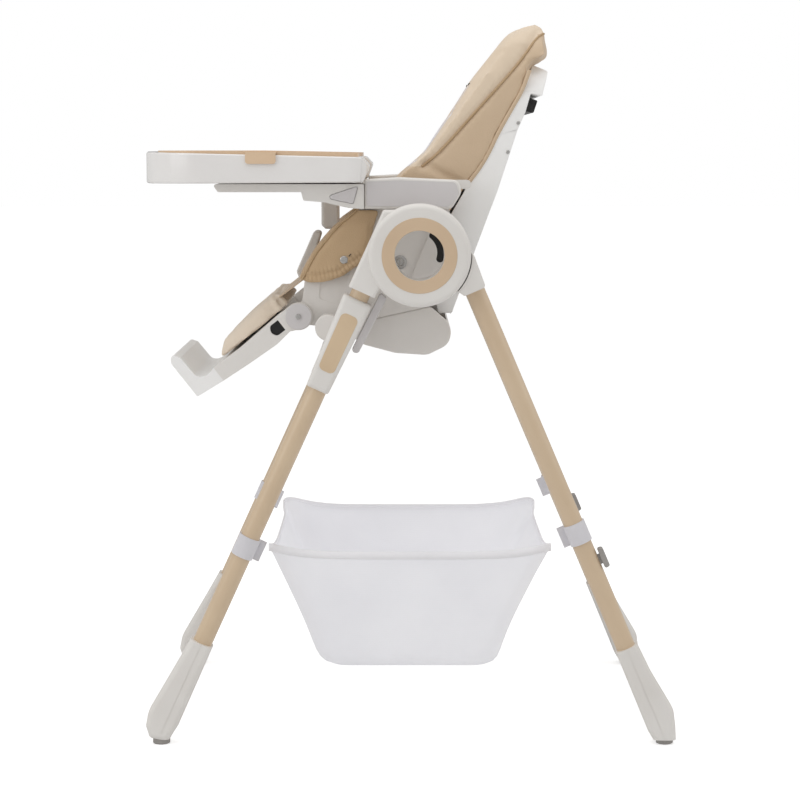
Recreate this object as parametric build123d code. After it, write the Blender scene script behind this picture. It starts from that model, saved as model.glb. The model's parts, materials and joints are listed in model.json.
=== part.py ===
from build123d import *
import math
import os

# Folding baby high chair. Millimetres. +X is the child's left, the child faces -Y, +Z is up.
# The floor is Z = 0, and the origin is under the middle of the chair.

# Hubs and legs. A leg is drawn in its own plane: x runs backwards, y up the leg, z is +X, and
# the plane's origin is the point of the leg's axis nearest the hub.
HUB_Y = 17.5
HUB_Z = 712.0
HUB_RADIUS = 73.0
HUB_FACE_X = 290.0
HUB_SPLIT_X = 266.0
HUB_OPENING = 35.3
RING_RADIUS = 53.4
RING_DEPTH = 2.0
SPIGOT_RADIUS = 40.0
SPIGOT_END_X = 240.0
INNER_HUB_RADIUS = 62.0
HUB_GAP = 1.5
LEG_X = 250.0
LEG_OFFSET = 53.0
FRONT_LEAN = 24.5
REAR_LEAN = 23.1
TUBE_RADIUS = 14.0
TUBE_WALL = 1.5
TUBE_FOOT = -690.0
FRONT_TUBE_TOP = -56.0
REAR_TUBE_TOP = -60.0
BOOT_TOP = -642.0
BOOT_HALF_WIDTH = 19.0
SOLE = 8.0
CROSSBAR_UP = -665.0
CROSSBAR_RADIUS = 11.0
STRAP_HEIGHT = 31.0
STRAP_THICKNESS = 2.0

# Slider on the front leg, and the seat mount inside it
SLIDER_TOP = -94.0
SLIDER_BOTTOM = -236.0
SLIDER_INNER_X = 231.0
SLIDER_OUTER_X = 270.0
SLIDER_CLEARANCE = 0.4
MOUNT_INNER_X = 196.0

# Seat
SEAT_SIDE_X = 190.0
SEAT_WALL = 8.0
PAN_TOP = 655.0
PAN_THICKNESS = 5.0
WING_OUTER_X = 200.0
WING_INNER_X = 160.0
ARM_TOP = 819.0
ARM_BOTTOM = 776.0
ARM_FRONT = -61.0
ARM_REAR = 78.0
ARM_INNER_X = 184.0
ARM_OUTER_X = 229.0
SLOT_RADIUS = 31.8
SLOT_WIDTH = 10.7
SLOT_TOP_ANGLE = 51.0
SLOT_LOW_ANGLE = -16.6

# Backrest
SHELL_HALF_WIDTH = 165.0
SHELL_WALL = 4.0
RECLINE_PIN_RADIUS = 4.0
PAD_HALF_WIDTH = 172.0
PAD_TAPER = 4.0

# Footrest, drawn in its own plane: x runs away from the hinge along the board, y out of its face
FOOT_HINGE_Y = -157.0
FOOT_HINGE_Z = 620.0
FOOT_SLOPE = 38.0
BOLT_RADIUS = 4.0
DISC_RADIUS = 20.0
EAR_INNER_X = 191.0
EAR_OUTER_X = 204.0
LIP_HALF_WIDTH = 132.0
BOARD_END = 198.5

# Tray
TRAY_HALF_WIDTH = 262.0
TRAY_FRONT = -390.0
TRAY_REAR = -53.0
TRAY_BOTTOM = 812.0
TRAY_RIM = 15.0
TRAY_FLOOR = 828.0
RECEIVER_OUTER_X = 234.0
RECEIVER_REAR = -61.5

# Basket
BASKET_HALF_TOP = 220.0
BASKET_HALF_BOTTOM = 172.0
BASKET_WALL = 3.0


def leg_plane(lean, side):
    """Plane of a leg; side is 1 for the front leg and -1 for the rear leg."""
    sine = side * math.sin(math.radians(lean))
    cosine = math.cos(math.radians(lean))
    backwards = Vector(0, cosine, -sine)
    hub = Vector(0, HUB_Y, HUB_Z)
    return Plane(origin=hub - backwards * (side * LEG_OFFSET), x_dir=backwards, z_dir=(1, 0, 0))


FRONT = leg_plane(FRONT_LEAN, 1)
REAR = leg_plane(REAR_LEAN, -1)
FOOTREST = Plane(
    origin=(0, FOOT_HINGE_Y, FOOT_HINGE_Z),
    x_dir=(0, -math.cos(math.radians(FOOT_SLOPE)), -math.sin(math.radians(FOOT_SLOPE))),
    z_dir=(-1, 0, 0),
)


def face(points, radius=0.0):
    """Closed flat face through the corners, rounded by one radius or one for each corner."""
    if radius == 0.0:
        return make_face(Polyline(*points, close=True))
    return make_face(FilletPolyline(*points, radius=radius, close=True))


def plate(outline, low, high):
    """Outline in a local xy plane, thickened between two heights."""
    return Pos(0, 0, low) * extrude(outline, high - low)


def side_plate(outline, x_low, x_high):
    """Outline given as (y, z) corners, thickened along X."""
    return Plane.YZ * plate(outline, x_low, x_high)


def rod(radius, x, y, low, high):
    """Round rod along a plane's z axis."""
    return Pos(x, y, (low + high) / 2) * Cylinder(radius, high - low)


def leg_rod(radius, low, high):
    """Round rod up a leg."""
    return Pos(0, (low + high) / 2, LEG_X) * Rot(90, 0, 0) * Cylinder(radius, high - low)


def cross_rod(radius, y, z, x_low, x_high):
    """Round rod along X."""
    return Plane.YZ * rod(radius, y, z, x_low, x_high)


def other_side(part):
    """The same piece on the other side of the chair."""
    return mirror(part, about=Plane.YZ)


def pair(part):
    """A piece and its mirror image, as one group."""
    return Compound(children=[*part.solids(), *other_side(part).solids()])


def rounded_rims(part, radius, keep=lambda edge: True):
    """Rounds the rim edges of the two faces that end a plate along its z axis."""
    faces = part.faces().sort_by(Axis.Z)
    edges = [edge for end in (faces[0], faces[-1]) for edge in end.edges() if keep(edge)]
    return fillet(edges, radius)


# Frame


def leg_tube(top):
    """Round steel leg tube."""
    bore = leg_rod(TUBE_RADIUS - TUBE_WALL, TUBE_FOOT - 1, top + 1)
    return leg_rod(TUBE_RADIUS, TUBE_FOOT, top) - bore


def boot(side, plane):
    """Moulded foot: swells outwards to its toe and stands flat on a rubber pad."""
    swell = [(20, -690), (28.5, -752), (22, -775)]
    if side == 1:
        swell = [(22, -690), (30, -766), (25, -787)]
    profile = [(-16.5, BOOT_TOP), (17.5, BOOT_TOP), *swell, (12.5, -801), (-14, -795), (-18, -766)]
    corners = [(-side * out, up) for out, up in profile]
    radii = [0, 0, 60, 24, 10, 7, 7, 16]
    body = plate(face(corners, radii), LEG_X - BOOT_HALF_WIDTH, LEG_X + BOOT_HALF_WIDTH)
    body = rounded_rims(body, 9, lambda edge: edge.center().Y < BOOT_TOP - 1)
    body -= leg_rod(TUBE_RADIUS, TUBE_FOOT, BOOT_TOP + 1)
    groove_x = LEG_X + BOOT_HALF_WIDTH
    body -= Pos(0, -712, groove_x) * Box(0.9, 150, 1.2)
    above_sole = Pos(0, 0, SOLE + 500) * Box(1000, 1200, 1000)
    return (plane * body) & above_sole


def foot_pad(side, plane):
    """Round rubber pad under a boot."""
    toe = plane * Pos(-1.0 * side, -787, LEG_X)
    centre = toe.position
    pad = Pos(centre.X, centre.Y, SOLE / 2) * Cylinder(12.5, SOLE)
    return fillet(pad.edges().group_by(Axis.Z)[0], 1.5)


def crossbar(plane):
    """Round bar between the two feet of a pair."""
    middle = (plane * Pos(0, CROSSBAR_UP, 0)).position
    half = LEG_X - BOOT_HALF_WIDTH
    bore = cross_rod(CROSSBAR_RADIUS - TUBE_WALL, middle.Y, middle.Z, -half - 1, half + 1)
    return cross_rod(CROSSBAR_RADIUS, middle.Y, middle.Z, -half, half) - bore


def front_hub():
    """Outer hub disc, the leg sleeve below it and the hollow spigot that the rear hub turns on."""
    disc = rod(HUB_RADIUS, LEG_OFFSET, 0, HUB_SPLIT_X, HUB_FACE_X)
    disc = fillet(disc.edges().group_by(Axis.Z)[-1], 8)
    web_corners = [(-20, -81), (20, -81), (24, -50), (40, 45), (16, 53.5), (-20, 37)]
    web = plate(face(web_corners, [0, 0, 10, 10, 3, 3]), HUB_SPLIT_X, HUB_FACE_X - 6)
    web = fillet(web.faces().sort_by(Axis.Z)[-1].edges().filter_by(lambda e: e.center().X < -18), 5)
    sleeve = plate(face([(-20, -81), (20, -81), (20, -40), (-20, -40)]), SLIDER_INNER_X + 1, HUB_SPLIT_X)
    sleeve -= rod(INNER_HUB_RADIUS + HUB_GAP, LEG_OFFSET, 0, 200, HUB_SPLIT_X)
    hub = disc + web + sleeve
    hub -= rod(HUB_OPENING, LEG_OFFSET, 0, 200, 300)
    hub -= rod(RING_RADIUS, LEG_OFFSET, 0, HUB_FACE_X - RING_DEPTH, 300)
    spigot = rod(SPIGOT_RADIUS, LEG_OFFSET, 0, SPIGOT_END_X, HUB_SPLIT_X)
    spigot -= rod(HUB_OPENING, LEG_OFFSET, 0, 200, 300)
    hub += spigot
    return hub - leg_rod(TUBE_RADIUS, -100, FRONT_TUBE_TOP)


def rear_hub():
    """Inner hub disc on the spigot, with the bracket that holds the rear tube."""
    disc = rod(INNER_HUB_RADIUS, -LEG_OFFSET, 0, SPIGOT_END_X + 0.5, HUB_SPLIT_X - 0.5)
    corners = [(-23.5, -68), (-17, -78), (16, -78), (18.5, -26), (-30, -20), (-50, -50)]
    outline = face(corners, [2, 3, 5, 6, 5, 5])
    link = plate(outline, SPIGOT_END_X + 0.5, HUB_SPLIT_X - 0.5)
    collar = plate(outline, LEG_X - 17, HUB_FACE_X - 8)
    collar = fillet(collar.faces().sort_by(Axis.Z)[-1].edges(), 1.8)
    collar -= rod(HUB_RADIUS + HUB_GAP, -LEG_OFFSET, 0, 200, 300)
    hub = disc + link + collar
    hub -= rod(SPIGOT_RADIUS + 0.3, -LEG_OFFSET, 0, 200, 300)
    return hub - leg_rod(TUBE_RADIUS, -100, REAR_TUBE_TOP)


def hub_ring():
    """Trim ring set into the hub's outer face."""
    ring = rod(RING_RADIUS, LEG_OFFSET, 0, HUB_FACE_X - RING_DEPTH, HUB_FACE_X + 0.6)
    ring -= rod(HUB_OPENING, LEG_OFFSET, 0, 200, 300)
    return fillet(ring.edges().group_by(Axis.Z)[-1], 0.5)


def hub_retainer():
    """Flat ring that keeps the rear hub on the spigot."""
    ring = rod(49, LEG_OFFSET, 0, SPIGOT_END_X - 3, SPIGOT_END_X)
    return ring - rod(HUB_OPENING, LEG_OFFSET, 0, 200, 300)


def stand_bumper():
    """Small pad on the back of the rear tube, for standing the folded chair up."""
    pad = plate(face([(17, -522), (25, -520), (25, -493), (17, -491)], 3), LEG_X - 9, LEG_X + 9)
    stem = Pos(15.2, -507, LEG_X) * Box(4.6, 14, 8)
    return pad + (stem - leg_rod(TUBE_RADIUS, -600, -400))


def leg_strap(up, tail, reach):
    """Webbing loop round a leg, with a short tail towards the basket."""
    loop = leg_rod(TUBE_RADIUS + 0.3 + STRAP_THICKNESS, up - STRAP_HEIGHT / 2, up + STRAP_HEIGHT / 2)
    loop -= leg_rod(TUBE_RADIUS + 0.3, up - STRAP_HEIGHT, up + STRAP_HEIGHT)
    start = TUBE_RADIUS - 5
    tab = Pos(tail * (start + reach / 2), up, LEG_X - 12) * Box(reach, STRAP_HEIGHT, STRAP_THICKNESS)
    return loop + (tab - leg_rod(TUBE_RADIUS + 0.3, up - 40, up + 40))


# Slider, seat mount and height trigger


def slider():
    """Sleeve that runs on the front tube and carries the seat."""
    corners = [(-17, SLIDER_BOTTOM), (17, SLIDER_BOTTOM), (22, SLIDER_TOP), (-22, SLIDER_TOP)]
    body = plate(face(corners, 4), SLIDER_INNER_X, SLIDER_OUTER_X)
    outer = body.faces().sort_by(Axis.Z)[-1]
    body = fillet(outer.edges(), 7)
    body -= leg_rod(TUBE_RADIUS + SLIDER_CLEARANCE, -400, 0)
    return body - slider_inlay()


def slider_inlay():
    """Trim on the outer face of the slider."""
    corners = [(-12, -206), (12, -206), (13, -118), (-13, -118)]
    return plate(face(corners, 8), SLIDER_OUTER_X - 1.5, SLIDER_OUTER_X + 0.5)


def seat_mount():
    """Block between the slider and the seat, with the round boss of the height latch."""
    column_corners = [(-18, -222), (16, -222), (20, -104), (-20, -104)]
    column = plate(face(column_corners, 5), MOUNT_INNER_X, SLIDER_INNER_X)
    boss = rod(19, -22, -151, MOUNT_INNER_X + 6, SLIDER_INNER_X)
    boss = fillet(boss.edges().group_by(Axis.Z)[-1], 1.5)
    arm_corners = [(-18, -200), (8, -200), (30, -112), (28, -92), (-18, -108)]
    arm = plate(face(arm_corners, 6), SEAT_SIDE_X, MOUNT_INNER_X)
    return column + boss + arm


def height_trigger():
    """Finger plate behind the slider, hinged at its top."""
    corners = [(21.5, -168), (32.5, -165), (37, -76), (25, -72)]
    body = plate(face(corners, [5, 5, 4, 4]), SLIDER_INNER_X + 2, SLIDER_INNER_X + 19)
    return rounded_rims(body, 1.5)


# Seat


def seat_side_outline():
    """Side of the seat, from the armrest down to the lower housing."""
    corners = [
        (-68, ARM_BOTTOM),
        (-148, 676),
        (-152, 643),
        (-160, 634),
        (-166, 620),
        (-160, 608),
        (-137, 606),
        (-100, 601),
        (-62, 612),
        (-38, 618),
        (34, 634),
        (62, 700),
        (62, ARM_BOTTOM),
    ]
    return face(corners, [4, 10, 4, 6, 8, 6, 6, 20, 20, 10, 4, 10, 4])


def arc_slot(radius, width, angle_low, angle_high, x_low, x_high):
    """Arc-shaped bar about the recline axis, with round ends."""
    ring = Circle(radius + width / 2) - Circle(radius - width / 2)
    reach = radius * 3
    middle = (angle_low + angle_high) / 2
    wedge_points = [(0, 0)]
    for angle in (angle_low, middle, angle_high):
        turn = math.radians(angle)
        wedge_points.append((reach * math.cos(turn), reach * math.sin(turn)))
    sector = ring & face(wedge_points)
    for angle in (angle_low, angle_high):
        turn = math.radians(angle)
        sector += Pos(radius * math.cos(turn), radius * math.sin(turn)) * Circle(width / 2)
    return Plane.YZ * Pos(HUB_Y, HUB_Z, 0) * plate(sector, x_low, x_high)


def seat_tub():
    """Two sides, a pan between them and a front rail."""
    side = side_plate(seat_side_outline(), SEAT_SIDE_X - SEAT_WALL, SEAT_SIDE_X)
    panel = [(-128, 645), (-99, 636), (-80, 690), (-124, 690)]
    side -= side_plate(face(panel, 6), SEAT_SIDE_X - 1.5, SEAT_SIDE_X + 1)
    window = [(-14, 640), (28, 640), (28, 662), (-14, 662)]
    side -= side_plate(face(window, 3), SEAT_SIDE_X - SEAT_WALL - 1, SEAT_SIDE_X + 10)
    side -= arc_slot(SLOT_RADIUS, SLOT_WIDTH, SLOT_LOW_ANGLE, SLOT_TOP_ANGLE, SEAT_SIDE_X - 4, 200)
    side -= cross_rod(RECLINE_PIN_RADIUS + 0.1, HUB_Y, HUB_Z, 180, SEAT_SIDE_X - 3)
    side -= cross_rod(BOLT_RADIUS + 0.1, FOOT_HINGE_Y, FOOT_HINGE_Z, 180, 200)
    inner = SEAT_SIDE_X - SEAT_WALL
    pan = Pos(0, (-146 - 27) / 2, PAN_TOP - PAN_THICKNESS / 2) * Box(2 * inner, 119, PAN_THICKNESS)
    tongue = Pos(0, -6, PAN_TOP - PAN_THICKNESS / 2) * Box(2 * 157, 44, PAN_THICKNESS)
    rail = side_plate(face([(-150, 646), (-146, 668), (-141, 668), (-144, 646)]), -inner, inner)
    return side + other_side(side) + pan + tongue + rail


def seat_base():
    """Lower housing under the pan, open on top so that the backrest can swing inside it."""
    corners = [(-98, 600), (-62, 577), (-17, 565), (30, 562), (62, 578), (66, 606)]
    corners += [(34, 633.5), (-38, 617.5), (-62, 611.5)]
    radii = [4, 12, 40, 24, 22, 26, 14, 4, 10]
    half = SEAT_SIDE_X - 4
    body = side_plate(face(corners, radii), -half, half)
    ends = body.faces().sort_by(Axis.X)
    body = fillet(ends[0].edges() + ends[-1].edges(), 2.5)
    cavity = [(-86, 602), (-58, 583), (-16, 571), (28, 568), (56, 582), (60, 606), (34, 700), (-62, 700)]
    return body - side_plate(face(cavity, [3, 8, 20, 10, 12, 6, 3, 3]), -half + 8, half - 8)


def recline_plate():
    """Plate on the seat side, about the recline axis, with the arc slot through it."""
    edge = [(30, 733), (7, 678), (-2, 640), (90, 640), (90, 790), (47, 790)]
    outline = face(edge, [3, 3, 3, 10, 10, 3])
    disc = cross_rod(56, HUB_Y, HUB_Z, SEAT_SIDE_X, SEAT_SIDE_X + 4)
    part = side_plate(outline, SEAT_SIDE_X, SEAT_SIDE_X + 4) & disc
    return part - arc_slot(SLOT_RADIUS, SLOT_WIDTH, SLOT_LOW_ANGLE, SLOT_TOP_ANGLE, SEAT_SIDE_X - 1, 200)


def recline_track():
    """Dark strip at the bottom of the arc slot."""
    return arc_slot(SLOT_RADIUS, SLOT_WIDTH, SLOT_LOW_ANGLE, SLOT_TOP_ANGLE, SEAT_SIDE_X - 4, SEAT_SIDE_X - 2)


def seat_screw():
    """Ring boss and screw on the seat side."""
    boss = cross_rod(10, -10, 698, SEAT_SIDE_X, SEAT_SIDE_X + 1.2) - cross_rod(6, -10, 698, 0, 300)
    head = cross_rod(4.5, -10, 698, SEAT_SIDE_X, SEAT_SIDE_X + 2.5)
    return boss + head


def seat_pad():
    """Seat cushion."""
    corners = [(-140, 658), (-138, 683), (-60, 680), (8, 684), (8, 657), (-60, 656)]
    return side_plate(face(corners, [6, 10, 60, 8, 6, 60]), -156, 156)


def side_wing():
    """Padded cover over the front edge of the seat side: an outer and an inner leaf."""
    edge = [(-75, 774), (-105, 750), (-127, 724), (-139, 709)]
    outer = edge + [(-158, 672), (-140, 667), (-115, 669), (-92, 677.5), (-58, 700), (-40, 774)]
    leaf = side_plate(face(outer, [3, 20, 20, 20, 4, 10, 20, 30, 10, 3]), SEAT_SIDE_X + 0.3, WING_OUTER_X)
    seat_inner_x = SEAT_SIDE_X - SEAT_WALL - 0.3
    inner = edge + [(-157, 674), (-135, 672), (-40, 690), (-40, 774)]
    lining = side_plate(face(inner, 3), WING_INNER_X, seat_inner_x)
    bridge_corners = edge + [(-158, 672), (-152, 671), (-70, 774)]
    bridge = side_plate(face(bridge_corners, [1, 20, 20, 20, 1, 1, 1]), WING_INNER_X, WING_OUTER_X)
    for gap in (-0.6, 0.6):
        bridge -= Pos(0, gap, 0) * side_plate(seat_side_outline(), seat_inner_x, SEAT_SIDE_X + 0.3)
    return leaf + lining + bridge


def wing_button():
    """Metal snap on the outside of a wing."""
    head = cross_rod(6.5, -91, 702, WING_OUTER_X, WING_OUTER_X + 3)
    return fillet(head.edges().group_by(Axis.X)[-1], 2.5)


def front_guard():
    """Slanted upright at the middle of the seat's front edge."""
    outline = face([(-141, 737), (-168, 676), (-164, 666), (-151, 666), (-129, 737)], [5, 8, 3, 2, 5])
    guard = side_plate(outline, -34, 34)
    return fillet(guard.edges().filter_by(lambda e: e.center().Z > 735 and abs(e.center().X) > 33), 3)


def armrest():
    """Hollow arm, open in front for the tray's tongue."""
    corners = [
        (ARM_FRONT, ARM_BOTTOM),
        (ARM_FRONT, ARM_TOP - 1),
        (-12, ARM_TOP + 2),
        (ARM_REAR - 4, ARM_TOP - 2),
        (ARM_REAR, ARM_TOP - 20),
        (ARM_REAR - 14, ARM_BOTTOM),
    ]
    outline = face(corners, [2, 3, 60, 10, 14, 10])
    arm = side_plate(outline, ARM_INNER_X, ARM_OUTER_X)
    rims = arm.faces().sort_by(Axis.X)
    arm = fillet([e for f in (rims[0], rims[-1]) for e in f.edges() if e.center().Z > ARM_TOP - 8], 3)
    stub = side_plate(face([(60, 804), (92, 804), (92, 817), (60, 817)], 5), ARM_INNER_X + 1, ARM_INNER_X + 13)
    channel = Pos((203 + 222) / 2, (ARM_FRONT + 40) / 2, 797) * Box(19, 40 - ARM_FRONT + 2, 26)
    return arm + stub - channel


def armrest_cover():
    """Side panel on the outside of an arm."""
    front = ARM_FRONT + 3
    corners = [(front, 780), (front, 815), (-12, 817), (70, 814), (74, 798), (61, 779.5)]
    outline = face(corners, [4, 3, 60, 8, 12, 8])
    return side_plate(outline, ARM_OUTER_X, ARM_OUTER_X + 1.5)


def lap_harness():
    """Lap belt across the seat cushion, with a crotch strap."""
    across = Pos(0, -62, 688.5) * Box(240, 26, 2)
    strap = Pos(0, -100, 688.5) * Box(26, 50, 2)
    return across + strap


def harness_buckle():
    """Buckle at the middle of the lap belt."""
    body = Pos(0, -62, 695) * Box(46, 50, 11)
    body = fillet(body.edges().filter_by(Axis.Z), 10)
    return fillet(body.edges().group_by(Axis.Z)[-1], 3)


# Backrest


def back_front_outline(half, bottom, top, corner, taper=0.0):
    """Outline of the backrest seen from the front, narrower at the top by a taper on each side."""
    corners = [(-half, bottom), (half, bottom), (half - taper, top), (-half + taper, top)]
    outline = face(corners, [20, 20, corner, corner])
    return Pos(0, 600, 0) * Rot(90, 0, 0) * extrude(outline, 1200)


SHELL_REAR = [(184, 984), (206, 974), (196, 937), (180, 942), (172, 914), (161, 889), (132, 800), (100, 714)]
SHELL_LOW = [(66, 622), (46, 622), (38, 660), (12, 698), (3, 712), (10, 727), (40, 738), (60, 760)]
SEAM = [(92, 814), (106, 832), (121, 857), (132, 882), (157, 926), (168, 944)]


def backrest_shell():
    """Moulded back with side walls, open towards the padding."""
    corners = SHELL_REAR + SHELL_LOW + SEAM
    outline = face(corners, 3)
    body = side_plate(outline, -SHELL_HALF_WIDTH, SHELL_HALF_WIDTH)
    inside = [(172, 976), (172, 948), (164, 914), (154, 888), (126, 800), (94, 714), (60, 628)]
    inside += [(-50, 628), (-50, 976)]
    hollow = face(inside, [8, 10, 6, 20, 20, 20, 8, 0, 0])
    inner = SHELL_HALF_WIDTH - SHELL_WALL
    body -= side_plate(hollow, -inner, inner) & back_front_outline(inner, 500, 982, 56)
    body -= cross_rod(RECLINE_PIN_RADIUS, HUB_Y, HUB_Z, -300, 300)
    return body & back_front_outline(SHELL_HALF_WIDTH, 560, 986, 60)


def backrest_pad():
    """Padded back, thick between its front face and the seam on the shell."""
    front = [(198, 1050), (155, 1021), (105, 962), (67, 910), (26, 857), (-14, 822), (-34, 788), (-35, 735)]
    bottom = [(-12, 696), (33, 698), (59.5, 760)]
    seam = [(y - 0.3, z) for y, z in SEAM]
    corners = front + bottom + seam + [(183, 986), (203, 990), (211, 1029)]
    radii = [14, 60, 60, 60, 60, 30, 30, 30, 10, 6, 6, 4, 10, 10, 10, 10, 8, 4, 8, 14]
    body = side_plate(face(corners, radii), -PAD_HALF_WIDTH, PAD_HALF_WIDTH)
    body &= back_front_outline(PAD_HALF_WIDTH, 560, 1056, 95, PAD_TAPER)
    body -= cross_rod(12, HUB_Y, HUB_Z, SHELL_HALF_WIDTH - 10, 200)
    body -= cross_rod(12, HUB_Y, HUB_Z, -200, -SHELL_HALF_WIDTH + 10)
    behind = side_plate(face(SHELL_REAR[:3] + [(200, 900), (182, 900)]), -400, 400)
    return body - backrest_shell() - behind


def shoulder_harness():
    """Two shoulder straps lying on the front of the back padding."""
    path = [(96, 951), (67, 911), (26, 857.5)]
    away = Vector(-0.80, 0.56)
    strip = [(y + 0.2 * away.X, z + 0.2 * away.Y) for y, z in path]
    strip += [(y + 2.2 * away.X, z + 2.2 * away.Y) for y, z in reversed(path)]
    return side_plate(face(strip), 40, 66)


def backrest_screw(y, z):
    """Small domed screw on the side of the shell."""
    head = cross_rod(2.8, y, z, SHELL_HALF_WIDTH, SHELL_HALF_WIDTH + 1.6)
    return fillet(head.edges().group_by(Axis.X)[-1], 1.2)


def recline_pin():
    """Steel pin of the recline hinge, in a blind hole of the seat side."""
    return cross_rod(RECLINE_PIN_RADIUS, HUB_Y, HUB_Z, SHELL_HALF_WIDTH - SHELL_WALL, SEAT_SIDE_X - 3.2)


def recline_lever():
    """Pull bar across the back."""
    bar = side_plate(face([(173.5, 917), (187, 914), (193, 932), (180, 937)], 2), -112, 112)
    return bar & back_front_outline(SHELL_HALF_WIDTH - 8, 560, 986, 60)


# Footrest


def board_plan(near, far):
    """Outline of the footrest seen square to its face, narrower towards the feet."""
    corners = [(18, -near), (44, -near), (BOARD_END + 5, -far), (BOARD_END + 5, far), (44, near), (18, near)]
    return Rot(90, 0, 0) * plate(face(corners), -90, 90)


def calf_board():
    """Board hinged to the seat's front, with a window in each side wall."""
    corners = [(18, 20), (100, 15.5), (150, 16.5), (150, -8), (100, -11), (50, -12.8), (18, -9)]
    body = plate(face(corners, [2, 60, 0, 0, 60, 40, 2]), -EAR_OUTER_X, EAR_OUTER_X)
    body &= board_plan(EAR_OUTER_X, LIP_HALF_WIDTH)
    body = body + ears()
    body -= windows(EAR_OUTER_X - 8, EAR_OUTER_X + 2)
    return FOOTREST * body


def ears():
    """Round ends of the footrest, outside the seat sides."""
    ear = rod(DISC_RADIUS, 0, 0, EAR_INNER_X, EAR_OUTER_X)
    ear += plate(face([(0, 20), (24, 19.5), (24, -9.5), (0, -20)]), EAR_INNER_X, EAR_OUTER_X)
    ear -= rod(BOLT_RADIUS, 0, 0, 0, 300)
    return ear + mirror(ear, about=Plane.XY)


def windows(low, high):
    """Window shapes of both side walls."""
    shape = face([(27, 14.5), (27, -3.5), (42, -3.5), (47, 5.5), (42, 14.5)], [0.5, 0.5, 6, 8, 6])
    part = plate(shape, low, high)
    return part + mirror(part, about=Plane.XY)


def footrest_latches():
    """Dark latch bars behind the side windows."""
    return FOOTREST * windows(EAR_OUTER_X - 8, EAR_OUTER_X - 5)


def foot_plate():
    """Upturned end of the footrest."""
    corners = [(150, 16.5), (165, 12), (180, 20), (181, 58), (187, 67), (193, 67)]
    corners += [(BOARD_END, 59), (BOARD_END, -3.5), (150, -8)]
    body = plate(face(corners, [0, 20, 12, 5, 4, 5, 8, 2, 0]), -EAR_OUTER_X, EAR_OUTER_X)
    return FOOTREST * (body & board_plan(EAR_OUTER_X, LIP_HALF_WIDTH))


def calf_pad():
    """Cushion on the calf board."""
    corners = [(0, 21.5), (0, 42), (66, 40), (128, 33), (136, 26), (134, 19), (90, 18.5), (30, 20)]
    body = plate(face(corners, [3, 8, 60, 8, 4, 4, 60, 60]), -165, 165)
    body &= Pos(-8, 0, 0) * board_plan(160, 116)
    top_end = plate(face(corners[:2] + [(18, 42), (18, 21.5)]), -150, 150)
    return FOOTREST * (body + top_end)


def footrest_cap():
    """Round cap over the footrest hinge."""
    cap = rod(DISC_RADIUS - 1, 0, 0, EAR_OUTER_X, EAR_OUTER_X + 3)
    return fillet(cap.edges().group_by(Axis.Z)[-1], 1.2) - rod(BOLT_RADIUS, 0, 0, 0, 300)


def hinge_bolt():
    """Bolt of the footrest hinge, with its domed head on the cap."""
    head = rod(4.2, 0, 0, EAR_OUTER_X + 3, EAR_OUTER_X + 5.2)
    head = fillet(head.edges().group_by(Axis.Z)[-1], 1)
    return head + rod(BOLT_RADIUS, 0, 0, SEAT_SIDE_X - SEAT_WALL, EAR_OUTER_X + 3)


# Tray


def tray_plan(inset):
    """Tray outline seen from above, drawn in by an inset."""
    half = TRAY_HALF_WIDTH - inset
    front = TRAY_FRONT + inset
    rear = TRAY_REAR - inset
    corners = [(-half, rear), (-half, front + 20), (0, front - 4), (half, front + 20), (half, rear)]
    corners += [(150, rear), (0, rear - 62), (-150, rear)]
    corner = 95 - inset
    return face(corners, [34, corner, 600, corner, 34, 60, 130, 60])


def tray_top():
    """Deep tray with a sloping rim."""
    side = [(TRAY_FRONT - 2, TRAY_BOTTOM), (TRAY_FRONT + 9, 857), (-64, 850), (TRAY_REAR, 838)]
    side += [(-62, TRAY_BOTTOM + 2)]
    body = plate(tray_plan(0), TRAY_BOTTOM, 870) & side_plate(face(side, [4, 6, 8, 6, 4]), -300, 300)
    return body - plate(tray_plan(TRAY_RIM), TRAY_FLOOR, 900)


def tray_insert():
    """Removable food tray, with a tab over each side rim."""
    body = plate(tray_plan(TRAY_RIM + 1), TRAY_FLOOR + 0.5, 859)
    body -= plate(tray_plan(TRAY_RIM + 4), TRAY_FLOOR + 3.5, 900)
    rim_cut = side_plate(face([(-500, 864), (-500, 900), (0, 900), (0, 853.5), (-64, 856)]), -300, 300)
    body -= rim_cut
    half = TRAY_HALF_WIDTH
    bridge = Pos((half - TRAY_RIM - 3 + half + 3.5) / 2, -207, 855.9) * Box(TRAY_RIM + 6.5, 43, 3)
    drop = Pos(half + 2, -207, 848.9) * Box(3, 43, 17)
    drop = fillet(drop.edges().filter_by(Axis.X).group_by(Axis.Z)[0], 4)
    tab = bridge + drop
    return body + tab + other_side(tab)


def tray_base():
    """Carrier under the tray, with a receiver and a tongue for each arm."""
    panel_corners = [(-278, 811.5), (-270, 800), (-62, 800), (-62, 811.5)]
    panel = side_plate(face(panel_corners, [3, 3, 2, 1]), -RECEIVER_OUTER_X, RECEIVER_OUTER_X)
    panel -= Pos(0, -62, 806) * Cylinder(60, 40)
    corners = [(-154, 811), (-148, 788), (-118, 785.5), (-84, 777.5)]
    corners += [(RECEIVER_REAR, ARM_BOTTOM), (RECEIVER_REAR, 811)]
    receiver = side_plate(face(corners, [1, 3, 10, 10, 1, 1]), ARM_INNER_X, RECEIVER_OUTER_X)
    tongue = Pos(212.5, (RECEIVER_REAR + 20) / 2 - 2, 797) * Box(17.4, 20 - RECEIVER_REAR + 4, 24)
    arm = receiver + tongue
    pocket = side_plate(button_outline(0.6), RECEIVER_OUTER_X - 8, 300)
    return panel + arm + other_side(arm) - pocket - other_side(pocket)


def button_outline(grow):
    """Rounded triangle of the tray release button."""
    outline = face([(-118, 792.5), (-70, 808.5), (-77, 783.5)], [3, 2, 2])
    if grow == 0:
        return outline
    return offset(outline, grow)


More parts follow.
